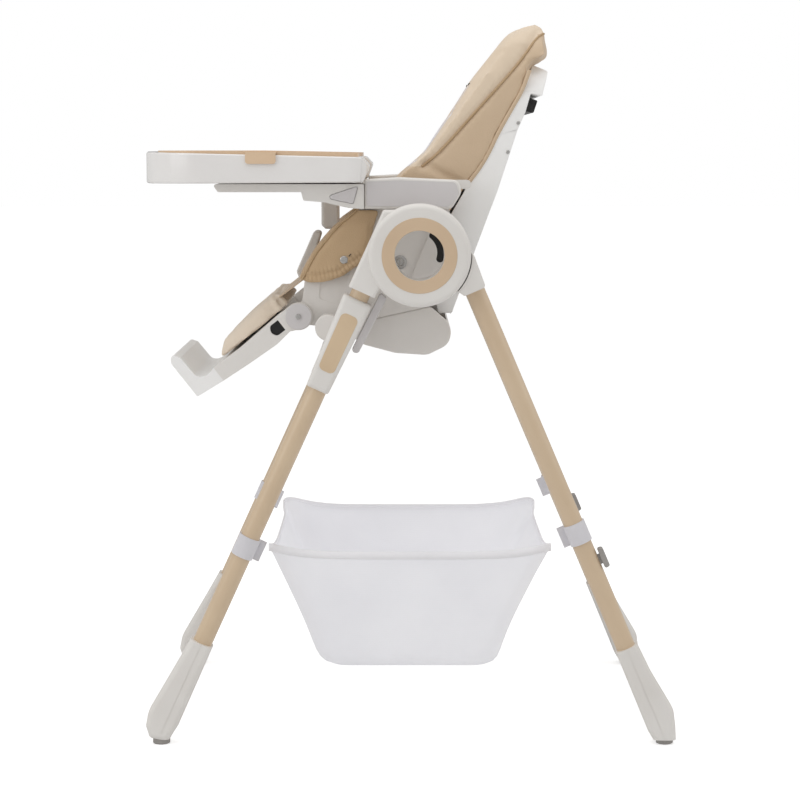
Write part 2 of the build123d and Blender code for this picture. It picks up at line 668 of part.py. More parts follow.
def tray_button():
    """Release button on a receiver's outer face."""
    return side_plate(button_outline(0), RECEIVER_OUTER_X - 4.5, RECEIVER_OUTER_X + 1.5)


def crotch_post():
    """Post under the tray, between the child's legs."""
    corners = [(-130, 799.9), (-130, 746), (-124, 740), (-103, 740), (-103, 799.9)]
    post = side_plate(face(corners, [0, 4, 4, 3, 0]), -20, 20)
    return fillet(post.edges().filter_by(Axis.Z), 5)


# Basket


def basket_loft(grow, floor, top):
    """Tapered basket body, from its floor up to its rim."""
    sections = []
    for height, front, rear, half, corner in (
        (floor, -116, 126, BASKET_HALF_BOTTOM - 22, 30),
        (floor + 12, -132, 138, BASKET_HALF_BOTTOM - 6, 34),
        (148, -148, 152, BASKET_HALF_BOTTOM + 8, 34),
        (top, -198, 208, BASKET_HALF_TOP, 30),
    ):
        middle = (front + rear) / 2
        outline = RectangleRounded(2 * (half + grow), rear - front + 2 * grow, corner + grow)
        sections.append(Pos(0, middle, height) * outline)
    return loft(sections, ruled=True)


def basket():
    """Soft basket hung between the legs, open on top."""
    return basket_loft(0, 88, 284) - basket_loft(-BASKET_WALL, 88 + BASKET_WALL, 284.01)


def write_parts():
    """Builds every piece at its place and writes one file for each."""
    parts = {
        "front_tube_left": FRONT * leg_tube(FRONT_TUBE_TOP),
        "rear_tube_left": REAR * leg_tube(REAR_TUBE_TOP),
        "front_hub_left": FRONT * front_hub(),
        "rear_hub_left": REAR * rear_hub(),
        "front_foot_left": boot(1, FRONT),
        "rear_foot_left": boot(-1, REAR),
        "slider_left": FRONT * slider(),
        "height_trigger_left": FRONT * height_trigger(),
        "armrest_left": armrest(),
        "tray_button_left": tray_button(),
    }
    for name in list(parts):
        parts[name.replace("_left", "_right")] = other_side(parts[name])
    parts["front_crossbar"] = crossbar(FRONT)
    parts["rear_crossbar"] = crossbar(REAR)
    parts["front_foot_pads"] = pair(foot_pad(1, FRONT))
    parts["rear_foot_pads"] = pair(foot_pad(-1, REAR))
    parts["hub_rings"] = pair(FRONT * hub_ring())
    parts["seat_mounts"] = pair(FRONT * seat_mount())
    parts["side_wings"] = pair(side_wing())
    parts["hub_retainers"] = pair(FRONT * hub_retainer())
    parts["stand_bumpers"] = pair(REAR * stand_bumper())
    parts["front_straps"] = pair(FRONT * leg_strap(-487, 1, 17))
    parts["rear_straps"] = pair(REAR * leg_strap(-459, -1, 17))
    parts["slider_inlays"] = pair(FRONT * slider_inlay())
    parts["basket"] = basket()
    parts["seat_tub"] = seat_tub()
    parts["seat_base"] = seat_base()
    parts["recline_plates"] = pair(recline_plate())
    parts["recline_tracks"] = pair(recline_track())
    parts["seat_screws"] = pair(seat_screw())
    parts["seat_pad"] = seat_pad()
    parts["wing_buttons"] = pair(wing_button())
    parts["front_guard"] = front_guard()
    parts["armrest_covers"] = pair(armrest_cover())
    parts["lap_harness"] = lap_harness()
    parts["harness_buckle"] = harness_buckle()
    parts["backrest_shell"] = backrest_shell()
    parts["backrest_pad"] = backrest_pad()
    parts["shoulder_harness"] = pair(shoulder_harness())
    screws = [backrest_screw(161.8, 899), backrest_screw(147, 857)]
    parts["backrest_screws"] = pair(Compound(children=screws))
    parts["recline_pins"] = pair(recline_pin())
    parts["recline_lever"] = recline_lever()
    parts["calf_board"] = calf_board()
    parts["footrest_latches"] = footrest_latches()
    parts["foot_plate"] = foot_plate()
    parts["calf_pad"] = calf_pad()
    parts["footrest_caps"] = pair(FOOTREST * footrest_cap())
    parts["hinge_bolts"] = pair(FOOTREST * hinge_bolt())
    parts["tray_top"] = tray_top()
    parts["tray_insert"] = tray_insert()
    parts["tray_base"] = tray_base()
    parts["crotch_post"] = crotch_post()
    os.makedirs("parts", exist_ok=True)
    for name, part in parts.items():
        export_step(part, os.path.join("parts", name + ".step"))


write_parts()
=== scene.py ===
"""Looks of a folding baby high chair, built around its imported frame.

Row frame: +X is the seated child's left, the child faces -Y, +Z is up. Lengths are metres.
"""

import json
import logging
import math
from dataclasses import dataclass
from enum import Enum
from typing import Callable, Sequence

import bmesh
import bpy
import numpy as np
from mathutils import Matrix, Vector, noise
from mathutils.bvhtree import BVHTree


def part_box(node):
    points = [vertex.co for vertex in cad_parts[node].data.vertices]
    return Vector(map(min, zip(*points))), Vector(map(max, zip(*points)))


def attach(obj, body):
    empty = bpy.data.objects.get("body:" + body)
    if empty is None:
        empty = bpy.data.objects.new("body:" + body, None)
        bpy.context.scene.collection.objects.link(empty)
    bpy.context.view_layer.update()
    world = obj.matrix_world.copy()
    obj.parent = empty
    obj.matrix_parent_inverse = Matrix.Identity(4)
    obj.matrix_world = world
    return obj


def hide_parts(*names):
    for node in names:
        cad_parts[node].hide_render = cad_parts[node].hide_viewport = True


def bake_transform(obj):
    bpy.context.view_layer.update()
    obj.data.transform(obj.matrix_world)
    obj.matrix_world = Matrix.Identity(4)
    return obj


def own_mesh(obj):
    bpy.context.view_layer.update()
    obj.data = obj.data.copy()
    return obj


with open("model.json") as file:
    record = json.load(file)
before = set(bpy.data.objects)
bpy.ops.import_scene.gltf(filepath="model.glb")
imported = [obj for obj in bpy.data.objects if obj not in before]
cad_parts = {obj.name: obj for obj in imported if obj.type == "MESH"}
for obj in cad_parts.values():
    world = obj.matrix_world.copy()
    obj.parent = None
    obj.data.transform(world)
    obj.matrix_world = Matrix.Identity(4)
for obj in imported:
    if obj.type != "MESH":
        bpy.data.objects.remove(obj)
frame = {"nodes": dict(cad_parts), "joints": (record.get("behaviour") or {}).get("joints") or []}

MM = 0.001
WELD_DISTANCE = 0.01 * MM
CRISP_ANGLE = math.radians(28)
ROUNDED_ANGLE = math.radians(32)
ROUGHNESS_BELOW = 0.04
ROUGHNESS_ABOVE = 0.05
COAT_ROUGHNESS = 0.08
SWELL_SHARE = 0.6
CAST_FROM_X = 0.25
LOG = logging.getLogger("high_chair")

Colour = tuple[float, float, float]
Point = tuple[float, float, float]
Flat = tuple[float, float]


# Shared tools


def linear(red: float, green: float, blue: float) -> Colour:
    """Linear colour of an 8-bit display colour.

    Args:
        red: red level, 0 to 255.
        green: green level, 0 to 255.
        blue: blue level, 0 to 255.

    Returns:
        The three linear channels.
    """
    channels = []
    for level in (red, green, blue):
        share = level / 255
        channels.append(share / 12.92 if share <= 0.04045 else ((share + 0.055) / 1.055) ** 2.4)
    return tuple(channels)


def deselect() -> None:
    """Leaves nothing selected and object mode on."""
    if bpy.context.object and bpy.context.object.mode != "OBJECT":
        bpy.ops.object.mode_set(mode="OBJECT")
    bpy.ops.object.select_all(action="DESELECT")


def activate(piece: bpy.types.Object) -> None:
    """Makes one piece the only selected one."""
    deselect()
    piece.select_set(True)
    bpy.context.view_layer.objects.active = piece


def apply_modifier(piece: bpy.types.Object, kind: str, **values: object) -> None:
    """Adds one modifier to a piece and applies it.

    Args:
        piece: the mesh to change.
        kind: the modifier's type name.
        values: settings of the modifier.
    """
    activate(piece)
    modifier = piece.modifiers.new(kind.lower(), kind)
    for key, value in values.items():
        setattr(modifier, key, value)
    bpy.ops.object.modifier_apply(modifier=modifier.name)


def coordinates(piece: bpy.types.Object) -> np.ndarray:
    """A mesh's points as rows."""
    flat = np.zeros(len(piece.data.vertices) * 3)
    piece.data.vertices.foreach_get("co", flat)
    return flat.reshape(-1, 3)


def normals(piece: bpy.types.Object) -> np.ndarray:
    """A mesh's point normals as rows."""
    flat = np.zeros(len(piece.data.vertices) * 3)
    piece.data.vertices.foreach_get("normal", flat)
    return flat.reshape(-1, 3)


def set_coordinates(piece: bpy.types.Object, points: np.ndarray) -> None:
    """Gives a mesh new points."""
    piece.data.vertices.foreach_set("co", points.ravel())
    piece.data.update()


def mesh_piece(
    name: str, points: Sequence[Sequence[float]], faces: Sequence[Sequence[int]]
) -> bpy.types.Object:
    """A new smooth-shaded mesh object.

    Args:
        name: the piece's name.
        points: its points.
        faces: the point numbers of each face.

    Returns:
        The new piece.
    """
    mesh = bpy.data.meshes.new(name)
    mesh.from_pydata([tuple(p) for p in points], [], [tuple(f) for f in faces])
    piece = bpy.data.objects.new(name, mesh)
    bpy.context.scene.collection.objects.link(piece)
    mesh.shade_smooth()
    return piece


def grid_faces(rows: int, columns: int, closed: bool) -> list[tuple[int, int, int, int]]:
    """Faces of a grid of points.

    Args:
        rows: number of rows of points.
        columns: number of points in a row.
        closed: whether the last column joins the first.

    Returns:
        One four-sided face for each cell.
    """
    faces = []
    for row in range(rows - 1):
        for column in range(columns if closed else columns - 1):
            after = (column + 1) % columns
            low = row * columns
            high = low + columns
            faces.append((low + column, low + after, high + after, high + column))
    return faces


def distance_to_line(points: np.ndarray, corners: Sequence[Flat]) -> np.ndarray:
    """Distance of flat points from an open line.

    Args:
        points: the flat points, as rows.
        corners: the line's corners.

    Returns:
        One distance for each point.
    """
    best = np.full(len(points), 1e9)
    for start, end in zip(corners, corners[1:]):
        a = np.array(start)
        run = np.array(end) - a
        share = np.clip((points - a) @ run / (run @ run), 0, 1)
        best = np.minimum(best, np.linalg.norm(points - (a + share[:, None] * run), axis=1))
    return best


def along_line(points: np.ndarray, corners: Sequence[Flat]) -> np.ndarray:
    """Distance travelled along a line at the place nearest each flat point.

    Args:
        points: the flat points, as rows.
        corners: the line's corners.

    Returns:
        One distance for each point.
    """
    best = np.full(len(points), 1e9)
    travel = np.zeros(len(points))
    done = 0.0
    for start, end in zip(corners, corners[1:]):
        a = np.array(start)
        run = np.array(end) - a
        length = np.linalg.norm(run)
        share = np.clip((points - a) @ run / (run @ run), 0, 1)
        gap = np.linalg.norm(points - (a + share[:, None] * run), axis=1)
        nearer = gap < best
        best[nearer] = gap[nearer]
        travel[nearer] = done + share[nearer] * length
        done += length
    return travel


def bell(distance: np.ndarray, width: float) -> np.ndarray:
    """Smooth bump that is 1 at distance 0 and fades over a width."""
    return np.exp(-((distance / width) ** 2))


def smooth_path(corners: Sequence[Flat], step: float) -> list[Flat]:
    """Evenly spaced points on a rounded line through the corners.

    Args:
        corners: the corners of the line.
        step: the largest distance between two points.

    Returns:
        The points, with the first and last corner kept.
    """
    points = [np.array(c, float) for c in corners]
    for _ in range(3):
        cut = [points[0]]
        for a, b in zip(points, points[1:]):
            cut += [a * 0.75 + b * 0.25, a * 0.25 + b * 0.75]
        points = cut + [points[-1]]
    dense = [points[0]]
    for a, b in zip(points, points[1:]):
        count = max(1, math.ceil(np.linalg.norm(b - a) / step))
        dense += [a + (b - a) * (i + 1) / count for i in range(count)]
    return [tuple(p) for p in dense]


def surface_tree(piece: bpy.types.Object) -> BVHTree:
    """Search tree of a mesh's faces.

    Args:
        piece: the mesh.

    Returns:
        The tree, for ray casts.
    """
    shape = bmesh.new()
    shape.from_mesh(piece.data)
    tree = BVHTree.FromBMesh(shape)
    shape.free()
    return tree


# Shared effects


def feed(tree: bpy.types.NodeTree, node: bpy.types.Node, inputs: dict[str | int, object]) -> None:
    """Feeds the inputs of a node.

    Args:
        tree: the node tree.
        node: the node.
        inputs: a socket to link or a constant for each input.
    """
    for label, value in inputs.items():
        if isinstance(value, bpy.types.NodeSocket):
            tree.links.new(value, node.inputs[label])
        else:
            node.inputs[label].default_value = value


def add_node(
    tree: bpy.types.NodeTree, kind: str, inputs: dict[str | int, object], **settings: object
) -> bpy.types.Node:
    """Adds a node, sets it up and feeds its inputs.

    Args:
        tree: the node tree.
        kind: the node's type name.
        inputs: a socket to link or a constant for each input.
        settings: the node's own settings.

    Returns:
        The new node.
    """
    node = tree.nodes.new(kind)
    for key, value in settings.items():
        setattr(node, key, value)
    feed(tree, node, inputs)
    return node


def new_group(
    name: str, inputs: Sequence[tuple[str, str, object]], outputs: Sequence[tuple[str, str]]
) -> tuple[bpy.types.NodeTree, bpy.types.Node, bpy.types.Node]:
    """Empty shader group with named sockets.

    Args:
        name: the group's name.
        inputs: label, socket type and default of each input.
        outputs: label and socket type of each output.

    Returns:
        The group, its input node and its output node.
    """
    tree = bpy.data.node_groups.new(name, "ShaderNodeTree")
    for label, kind, default in inputs:
        socket = tree.interface.new_socket(label, in_out="INPUT", socket_type=kind)
        if default is not None:
            socket.default_value = default
    for label, kind in outputs:
        tree.interface.new_socket(label, in_out="OUTPUT", socket_type=kind)
    return tree, tree.nodes.new("NodeGroupInput"), tree.nodes.new("NodeGroupOutput")


class Effects:
    """Shader groups that several finishes use. Each is built once."""

    def __init__(self) -> None:
        """Starts with no group built."""
        self.built: dict[str, bpy.types.NodeTree] = {}

    def mottle(self) -> bpy.types.NodeTree:
        """Slow drift between two close colours, and a value that drifts with it."""
        if "mottle" not in self.built:
            tree, start, end = new_group(
                "mottle",
                [
                    ("Vector", "NodeSocketVector", None),
                    ("Scale", "NodeSocketFloat", 12.0),
                    ("Light", "NodeSocketColor", (1, 1, 1, 1)),
                    ("Dark", "NodeSocketColor", (0.9, 0.9, 0.9, 1)),
                ],
                [("Colour", "NodeSocketColor"), ("Value", "NodeSocketFloat")],
            )
            given = start.outputs
            place = {"Vector": given["Vector"], "Scale": given["Scale"], "Detail": 5}
            cloud = add_node(tree, "ShaderNodeTexNoise", place)
            span = {"Value": cloud.outputs["Fac"], "From Min": 0.32, "From Max": 0.68}
            spread = add_node(tree, "ShaderNodeMapRange", span)
            share = spread.outputs["Result"]
            colours = {"Factor": share, "A": given["Light"], "B": given["Dark"]}
            mix = add_node(tree, "ShaderNodeMix", colours, data_type="RGBA")
            feed(tree, end, {"Colour": mix.outputs["Result"], "Value": share})
            self.built["mottle"] = tree
        return self.built["mottle"]

    def stipple(self) -> bpy.types.NodeTree:
        """Fine random relief of a moulded or painted surface."""
        if "stipple" not in self.built:
            tree, start, end = new_group(
                "stipple",
                [("Vector", "NodeSocketVector", None), ("Scale", "NodeSocketFloat", 900.0)],
                [("Height", "NodeSocketFloat")],
            )
            given = start.outputs
            place = {"Vector": given["Vector"], "Scale": given["Scale"], "Detail": 3, "Roughness": 0.6}
            fine = add_node(tree, "ShaderNodeTexNoise", place)
            feed(tree, end, {"Height": fine.outputs["Fac"]})
            self.built["stipple"] = tree
        return self.built["stipple"]

    def hide_grain(self) -> bpy.types.NodeTree:
        """Pebbled grain of coated cloth, with soft creases over it."""
        if "hide_grain" not in self.built:
            tree, start, end = new_group(
                "hide_grain",
                [
                    ("Vector", "NodeSocketVector", None),
                    ("Scale", "NodeSocketFloat", 700.0),
                    ("Crease Scale", "NodeSocketFloat", 30.0),
                ],
                [("Height", "NodeSocketFloat"), ("Creases", "NodeSocketFloat")],
            )
            given = start.outputs
            place = {"Vector": given["Vector"], "Scale": given["Scale"], "Smoothness": 0.6}
            cells = add_node(tree, "ShaderNodeTexVoronoi", place, feature="SMOOTH_F1")
            place = {"Vector": given["Vector"], "Scale": given["Crease Scale"], "Detail": 4, "Distortion": 1.2}
            creases = add_node(tree, "ShaderNodeTexNoise", place)
            feed(tree, end, {"Height": cells.outputs["Distance"], "Creases": creases.outputs["Fac"]})
            self.built["hide_grain"] = tree
        return self.built["hide_grain"]

    def weave(self) -> bpy.types.NodeTree:
        """Crossed threads, as a height and as a mask between the threads."""
        if "weave" not in self.built:
            tree, start, end = new_group(
                "weave",
                [("Vector", "NodeSocketVector", None), ("Scale", "NodeSocketFloat", 260.0)],
                [("Height", "NodeSocketFloat"), ("Gaps", "NodeSocketFloat")],
            )
            given = start.outputs
            place = {"Vector": given["Vector"], "Scale": given["Scale"], "Distortion": 0.3}
            threads = []
            for direction in ("X", "Y", "Z"):
                wave = add_node(tree, "ShaderNodeTexWave", place, bands_direction=direction)
                threads.append(wave.outputs["Fac"])
            total = threads[0]
            for thread in threads[1:]:
                both = add_node(tree, "ShaderNodeMath", {0: total, 1: thread}, operation="ADD")
                total = both.outputs["Value"]
            gaps = add_node(tree, "ShaderNodeMapRange", {"Value": total, "From Min": 0.9, "From Max": 2.1})
            feed(tree, end, {"Height": total, "Gaps": gaps.outputs["Result"]})
            self.built["weave"] = tree
        return self.built["weave"]


EFFECTS = Effects()


class Edge(Enum):
    """How the edges of a moulded or turned piece are finished."""

    CRISP = "crisp"
    ROUNDED = "rounded"


def crisp_group() -> bpy.types.NodeTree:
    """Geometry group that keeps the shading sharp across strongly bent edges.

    Returns:
        The group, made on first use.
    """
    if "crisp_edges" in bpy.data.node_groups:
        return bpy.data.node_groups["crisp_edges"]
    tree = bpy.data.node_groups.new("crisp_edges", "GeometryNodeTree")
    tree.interface.new_socket("Geometry", in_out="INPUT", socket_type="NodeSocketGeometry")
    tree.interface.new_socket("Geometry", in_out="OUTPUT", socket_type="NodeSocketGeometry")
    start = tree.nodes.new("NodeGroupInput")
    end = tree.nodes.new("NodeGroupOutput")
    bend = add_node(tree, "GeometryNodeInputMeshEdgeAngle", {})
    angles = {"A": bend.outputs["Unsigned Angle"], "B": CRISP_ANGLE}
    strong = add_node(tree, "FunctionNodeCompare", angles, operation="GREATER_THAN")
    edges = {
        "Geometry": start.outputs["Geometry"],
        "Selection": strong.outputs["Result"],
        "Shade Smooth": False,
    }
    shade = add_node(tree, "GeometryNodeSetShadeSmooth", edges, domain="EDGE")
    feed(tree, end, {"Geometry": shade.outputs["Geometry"]})
    return tree


@dataclass(frozen=True)
class Finish:
    """A surface finish. Colours are 8-bit display colours of the clean surface."""

    name: str
    light: Colour
    dark: Colour
    roughness: float
    mottle_scale: float = 9.0
    relief_scale: float = 900.0
    relief: float = 0.06
    coat: float = 0.0
    metallic: float = 0.0
    sheen: float = 0.0
    alpha: float = 1.0
    # painted light: emission that makes a cloth or tape glow though it is no lamp
    painted_glow: float = 0.0

    def relief_nodes(self, tree: bpy.types.NodeTree, place: bpy.types.NodeSocket) -> bpy.types.NodeSocket:
        """Adds the nodes of the fine relief.

        Args:
            tree: the material's node tree.
            place: the coordinates that the relief follows.

        Returns:
            The socket that carries the height.
        """
        grain = {"Vector": place, "Scale": self.relief_scale}
        effect = add_node(tree, "ShaderNodeGroup", grain, node_tree=EFFECTS.stipple())
        return effect.outputs["Height"]

    def material(self) -> bpy.types.Material:
        """The finish as a material, made on first use."""
        if self.name in bpy.data.materials:
            return bpy.data.materials[self.name]
        made = bpy.data.materials.new(self.name)
        made.use_nodes = True
        tree = made.node_tree
        shader = tree.nodes["Principled BSDF"]
        place = add_node(tree, "ShaderNodeTexCoord", {}).outputs["Object"]
        colours = {
            "Vector": place,
            "Scale": self.mottle_scale,
            "Light": (*linear(*self.light), 1),
            "Dark": (*linear(*self.dark), 1),
        }
        drift = add_node(tree, "ShaderNodeGroup", colours, node_tree=EFFECTS.mottle())
        span = {
            "Value": drift.outputs["Value"],
            "To Min": self.roughness - ROUGHNESS_BELOW,
            "To Max": self.roughness + ROUGHNESS_ABOVE,
        }
        rough = add_node(tree, "ShaderNodeMapRange", span)
        relief = {"Strength": self.relief, "Distance": MM, "Height": self.relief_nodes(tree, place)}
        bump = add_node(tree, "ShaderNodeBump", relief)
        surface = {
            "Base Color": drift.outputs["Colour"],
            "Roughness": rough.outputs["Result"],
            "Normal": bump.outputs["Normal"],
            "Metallic": self.metallic,
            "Coat Weight": self.coat,
            "Coat Roughness": COAT_ROUGHNESS,
            "Sheen Weight": self.sheen,
            "Alpha": self.alpha,
            # painted light: the finish gives out its light colour as a glow, though it is no lamp
            "Emission Color": (*linear(*self.light), 1),
            "Emission Strength": self.painted_glow,
        }
        feed(tree, shader, surface)
        return made


@dataclass(frozen=True)
class Hide(Finish):
    """Coated cloth with a pebbled grain and soft creases."""

    crease: float = 0.35

    def relief_nodes(self, tree: bpy.types.NodeTree, place: bpy.types.NodeSocket) -> bpy.types.NodeSocket:
        """Adds the nodes of the grain and the creases.

        Args:
            tree: the material's node tree.
            place: the coordinates that the grain follows.

        Returns:
            The socket that carries the height.
        """
        grain = {"Vector": place, "Scale": self.relief_scale}
        effect = add_node(tree, "ShaderNodeGroup", grain, node_tree=EFFECTS.hide_grain())
        heights = {0: effect.outputs["Creases"], 1: self.crease, 2: effect.outputs["Height"]}
        both = add_node(tree, "ShaderNodeMath", heights, operation="MULTIPLY_ADD")
        return both.outputs["Value"]


@dataclass(frozen=True)
class Woven(Finish):
    """Woven tape or cloth."""

    def relief_nodes(self, tree: bpy.types.NodeTree, place: bpy.types.NodeSocket) -> bpy.types.NodeSocket:
        """Adds the nodes of the threads.

        Args:
            tree: the material's node tree.
            place: the coordinates that the threads follow.

        Returns:
            The socket that carries the height.
        """
        threads = {"Vector": place, "Scale": self.relief_scale}
        effect = add_node(tree, "ShaderNodeGroup", threads, node_tree=EFFECTS.weave())
        return effect.outputs["Height"]


WHITE = Finish("white_moulding", (232, 229, 225), (226, 222, 217), 0.42, relief=0.10)
SHELL_WHITE = Finish("shell_moulding", (250, 249, 248), (245, 244, 242), 0.38, relief=0.08)
HOUSING = Finish("housing_moulding", (230, 226, 222), (222, 218, 213), 0.5, relief=0.14)
TRAY_GLOSS = Finish("tray_lacquer", (240, 238, 236), (236, 233, 231), 0.16, relief=0.01, coat=0.6)
TRAY_BEIGE = Finish("tray_beige", (228, 200, 168), (222, 192, 160), 0.32, relief=0.05, coat=0.2)
TRIM = Finish("ring_trim", (216, 190, 160), (208, 182, 152), 0.38, relief=0.08)
INLAY = Finish("slider_trim", (218, 194, 162), (206, 180, 148), 0.36, relief=0.08)
PAINT = Finish("tube_paint", (216, 193, 163), (209, 185, 155), 0.34, relief=0.12, coat=0.25)
# Grey mouldings; on the armrest covers the same grey is painted shade of the armrests' shaded sides.
GREY_AND_SHADE = Finish("grey_moulding_and_shade", (214, 210, 210), (206, 202, 202), 0.5, relief=0.16)
# Black mouldings; the same black is also painted shade in the cushion's strap slots and beside the side covers'
# buttons.
BLACK_AND_SHADE = Finish("black_moulding_and_shade", (24, 22, 22), (16, 15, 15), 0.45, relief=0.12)
RUBBER = Finish("foot_rubber", (168, 164, 160), (150, 146, 142), 0.7, relief=0.3, relief_scale=500)
STEEL = Finish("plated_steel", (205, 203, 200), (178, 176, 174), 0.24, relief=0.05, metallic=1.0)
HIDE = Hide("beige_hide", (214, 190, 161), (205, 180, 150), 0.52, mottle_scale=6, relief=0.35, sheen=0.15)
SIDE_HIDE = Hide("side_hide", (201, 172, 135), (192, 162, 125), 0.55, mottle_scale=6, relief=0.35, sheen=0.15)
FACE_HIDE = Hide("face_hide", (230, 211, 187), (222, 202, 177), 0.52, mottle_scale=6, relief=0.35, sheen=0.15)
# Calf pad cloth: a lighter copy of the face cloth, painted light for the brighter-lit calf pad.
CALF_LIT_HIDE = Hide("calf_lit_hide", (238, 223, 204), (231, 215, 195), 0.52, mottle_scale=6, relief=0.35, sheen=0.15)
SEAM = Hide("seam_hide", (190, 162, 126), (180, 151, 115), 0.6, mottle_scale=30, relief=0.4)
TAPE = Woven("white_tape", (242, 240, 244), (235, 233, 238), 0.75, relief_scale=420, relief=0.5)
# Basket cloth: its glow is painted light, brightening the thin cloth as if lit through
MESH_CLOTH = Woven(
    "mesh_cloth", (243, 243, 246), (237, 237, 241), 0.8, relief_scale=300, relief=0.2, alpha=0.8, painted_glow=0.15
)
# Rim tape: its glow is painted light that brightens the basket's binding
RIM_TAPE = Woven("rim_tape", (238, 237, 240), (232, 231, 234), 0.75, relief_scale=420, relief=0.3, painted_glow=0.16)


def dress(piece: bpy.types.Object, finish: Finish) -> bpy.types.Object:
    """Gives a piece one finish all over.

    Args:
        piece: the piece or CAD node.
        finish: the finish.

    Returns:
        The same piece.
    """
    piece.data.materials.clear()
    piece.data.materials.append(finish.material())
    return piece


def soften(node: str, finish: Finish, edge: Edge = Edge.CRISP, width: float = 1.0) -> bpy.types.Object:
    """Dresses a CAD node and finishes its edges with live modifiers.

    Args:
        node: the CAD node's name.
        finish: its finish.
        edge: whether its edges stay crisp or are rounded.
        width: size of the rounding, in millimetres.

    Returns:
        The node's object.
    """
    piece = frame["nodes"][node]
    piece.data.shade_smooth()
    weld = piece.modifiers.new("weld", "WELD")
    weld.merge_threshold = WELD_DISTANCE
    if edge is Edge.ROUNDED:
        edges = piece.modifiers.new("edges", "BEVEL")
        edges.width = width * MM
        edges.segments = 3
        edges.limit_method = "ANGLE"
        edges.angle_limit = ROUNDED_ANGLE
        edges.use_clamp_overlap = False
        edges.miter_outer = "MITER_ARC"
    crisp = piece.modifiers.new("crisp", "NODES")
    crisp.node_group = crisp_group()
    shading = piece.modifiers.new("shading", "WEIGHTED_NORMAL")
    shading.mode = "FACE_AREA"
    shading.weight = 100
    shading.keep_sharp = True
    return dress(piece, finish)


# Soft goods


@dataclass(frozen=True)
class Stuffing:
    """How a cushion is filled: grid size, first shrink, pressure and the furthest a point may move."""

    voxel: float = 6 * MM
    shrink: float = 2 * MM
    pressure: float = 4.0
    cap: float = 8 * MM
    last_frame: int = 20
    fill: float = 0.6


def cushion_blank(node: str, name: str, stuffing: Stuffing) -> bpy.types.Object:
    """Even-faced copy of a CAD soft solid, drawn in a little.

    Args:
        node: the CAD node to copy.
        name: the new piece's name.
        stuffing: the filling, for its grid size and shrink.

    Returns:
        The new piece.
    """
    mesh = frame["nodes"][node].data.copy()
    mesh.materials.clear()
    piece = bpy.data.objects.new(name, mesh)
    bpy.context.scene.collection.objects.link(piece)
    shape = bmesh.new()
    shape.from_mesh(mesh)
    bmesh.ops.remove_doubles(shape, verts=shape.verts, dist=WELD_DISTANCE)
    shape.to_mesh(mesh)
    shape.free()
    apply_modifier(piece, "REMESH", mode="VOXEL", voxel_size=stuffing.voxel)
    apply_modifier(piece, "SMOOTH", factor=0.5, iterations=2)
    set_coordinates(piece, coordinates(piece) - normals(piece) * stuffing.shrink)
    piece.data.shade_smooth()
    return piece


def inflate(piece: bpy.types.Object, stuffing: Stuffing, share: Callable[[np.ndarray], np.ndarray]) -> None:
    """Blows a cushion up by cloth simulation, within a cap.

    Args:
        piece: the even-faced cushion.
        stuffing: pressure, cap and length of the simulation.
        share: how much of the movement each point may take, 0 to 1.
    """
    rest = coordinates(piece)
    swell = normals(piece) * stuffing.cap * SWELL_SHARE
    cloth = piece.modifiers.new("filling", "CLOTH")
    cloth.settings.quality = 4
    cloth.settings.mass = 0.3
    cloth.settings.use_pressure = True
    cloth.settings.uniform_pressure_force = stuffing.pressure
    cloth.settings.tension_stiffness = 12
    cloth.settings.compression_stiffness = 12
    cloth.settings.bending_stiffness = 0.6
    cloth.settings.effector_weights.gravity = 0
    scene = bpy.context.scene
    for number in range(1, stuffing.last_frame + 1):
        scene.frame_set(number)
    evaluated = piece.evaluated_get(bpy.context.evaluated_depsgraph_get())
    moved = np.zeros(len(rest) * 3)
    evaluated.data.vertices.foreach_get("co", moved)
    swell = moved.reshape(-1, 3) - rest
    piece.modifiers.remove(cloth)
    scene.frame_set(1)
    size = np.linalg.norm(swell, axis=1)
    swell *= np.minimum(1, stuffing.cap / np.maximum(size, 1e-9))[:, None]
    set_coordinates(piece, rest + swell * share(rest)[:, None])
    apply_modifier(piece, "SMOOTH", factor=0.5, iterations=2)


def press(piece: bpy.types.Object, depth: np.ndarray) -> None:
    """Pushes each point inwards by its own depth."""
    set_coordinates(piece, coordinates(piece) - normals(piece) * depth[:, None])


def rumple(piece: bpy.types.Object, scale: float, height: float, share: np.ndarray) -> None:
    """Adds soft uneven folds.

    Args:
        piece: the cushion or cloth.
        scale: folds per metre.
        height: height of the folds.
        share: how much of it each point takes.
    """
    drift = np.array([noise.noise(Vector(point) * scale) for point in coordinates(piece)])
    press(piece, -height * drift * share)


def cord_on(
    name: str,
    tree: BVHTree,
    line: Sequence[Point],
    towards: Point,
    radius: float,
    finish: Finish,
    sink: float = 0.35,
) -> bpy.types.Object:
    """Sewn piping laid on a cushion.

    Args:
        name: the piece's name.
        tree: the cushion's search tree.
        line: points beside the cushion.
        towards: direction from the points to the cushion.
        radius: the piping's radius.
        finish: its finish.
        sink: share of the radius that lies in the cushion.

    Returns:
        The piping as a mesh.
    """
    direction = Vector(towards).normalized()
    points = []
    for point in line:
        hit = tree.ray_cast(Vector(point), direction)[0]
        if hit is not None:
            points.append(hit - direction * radius * (1 - sink))
    return tube(name, points, radius, finish)


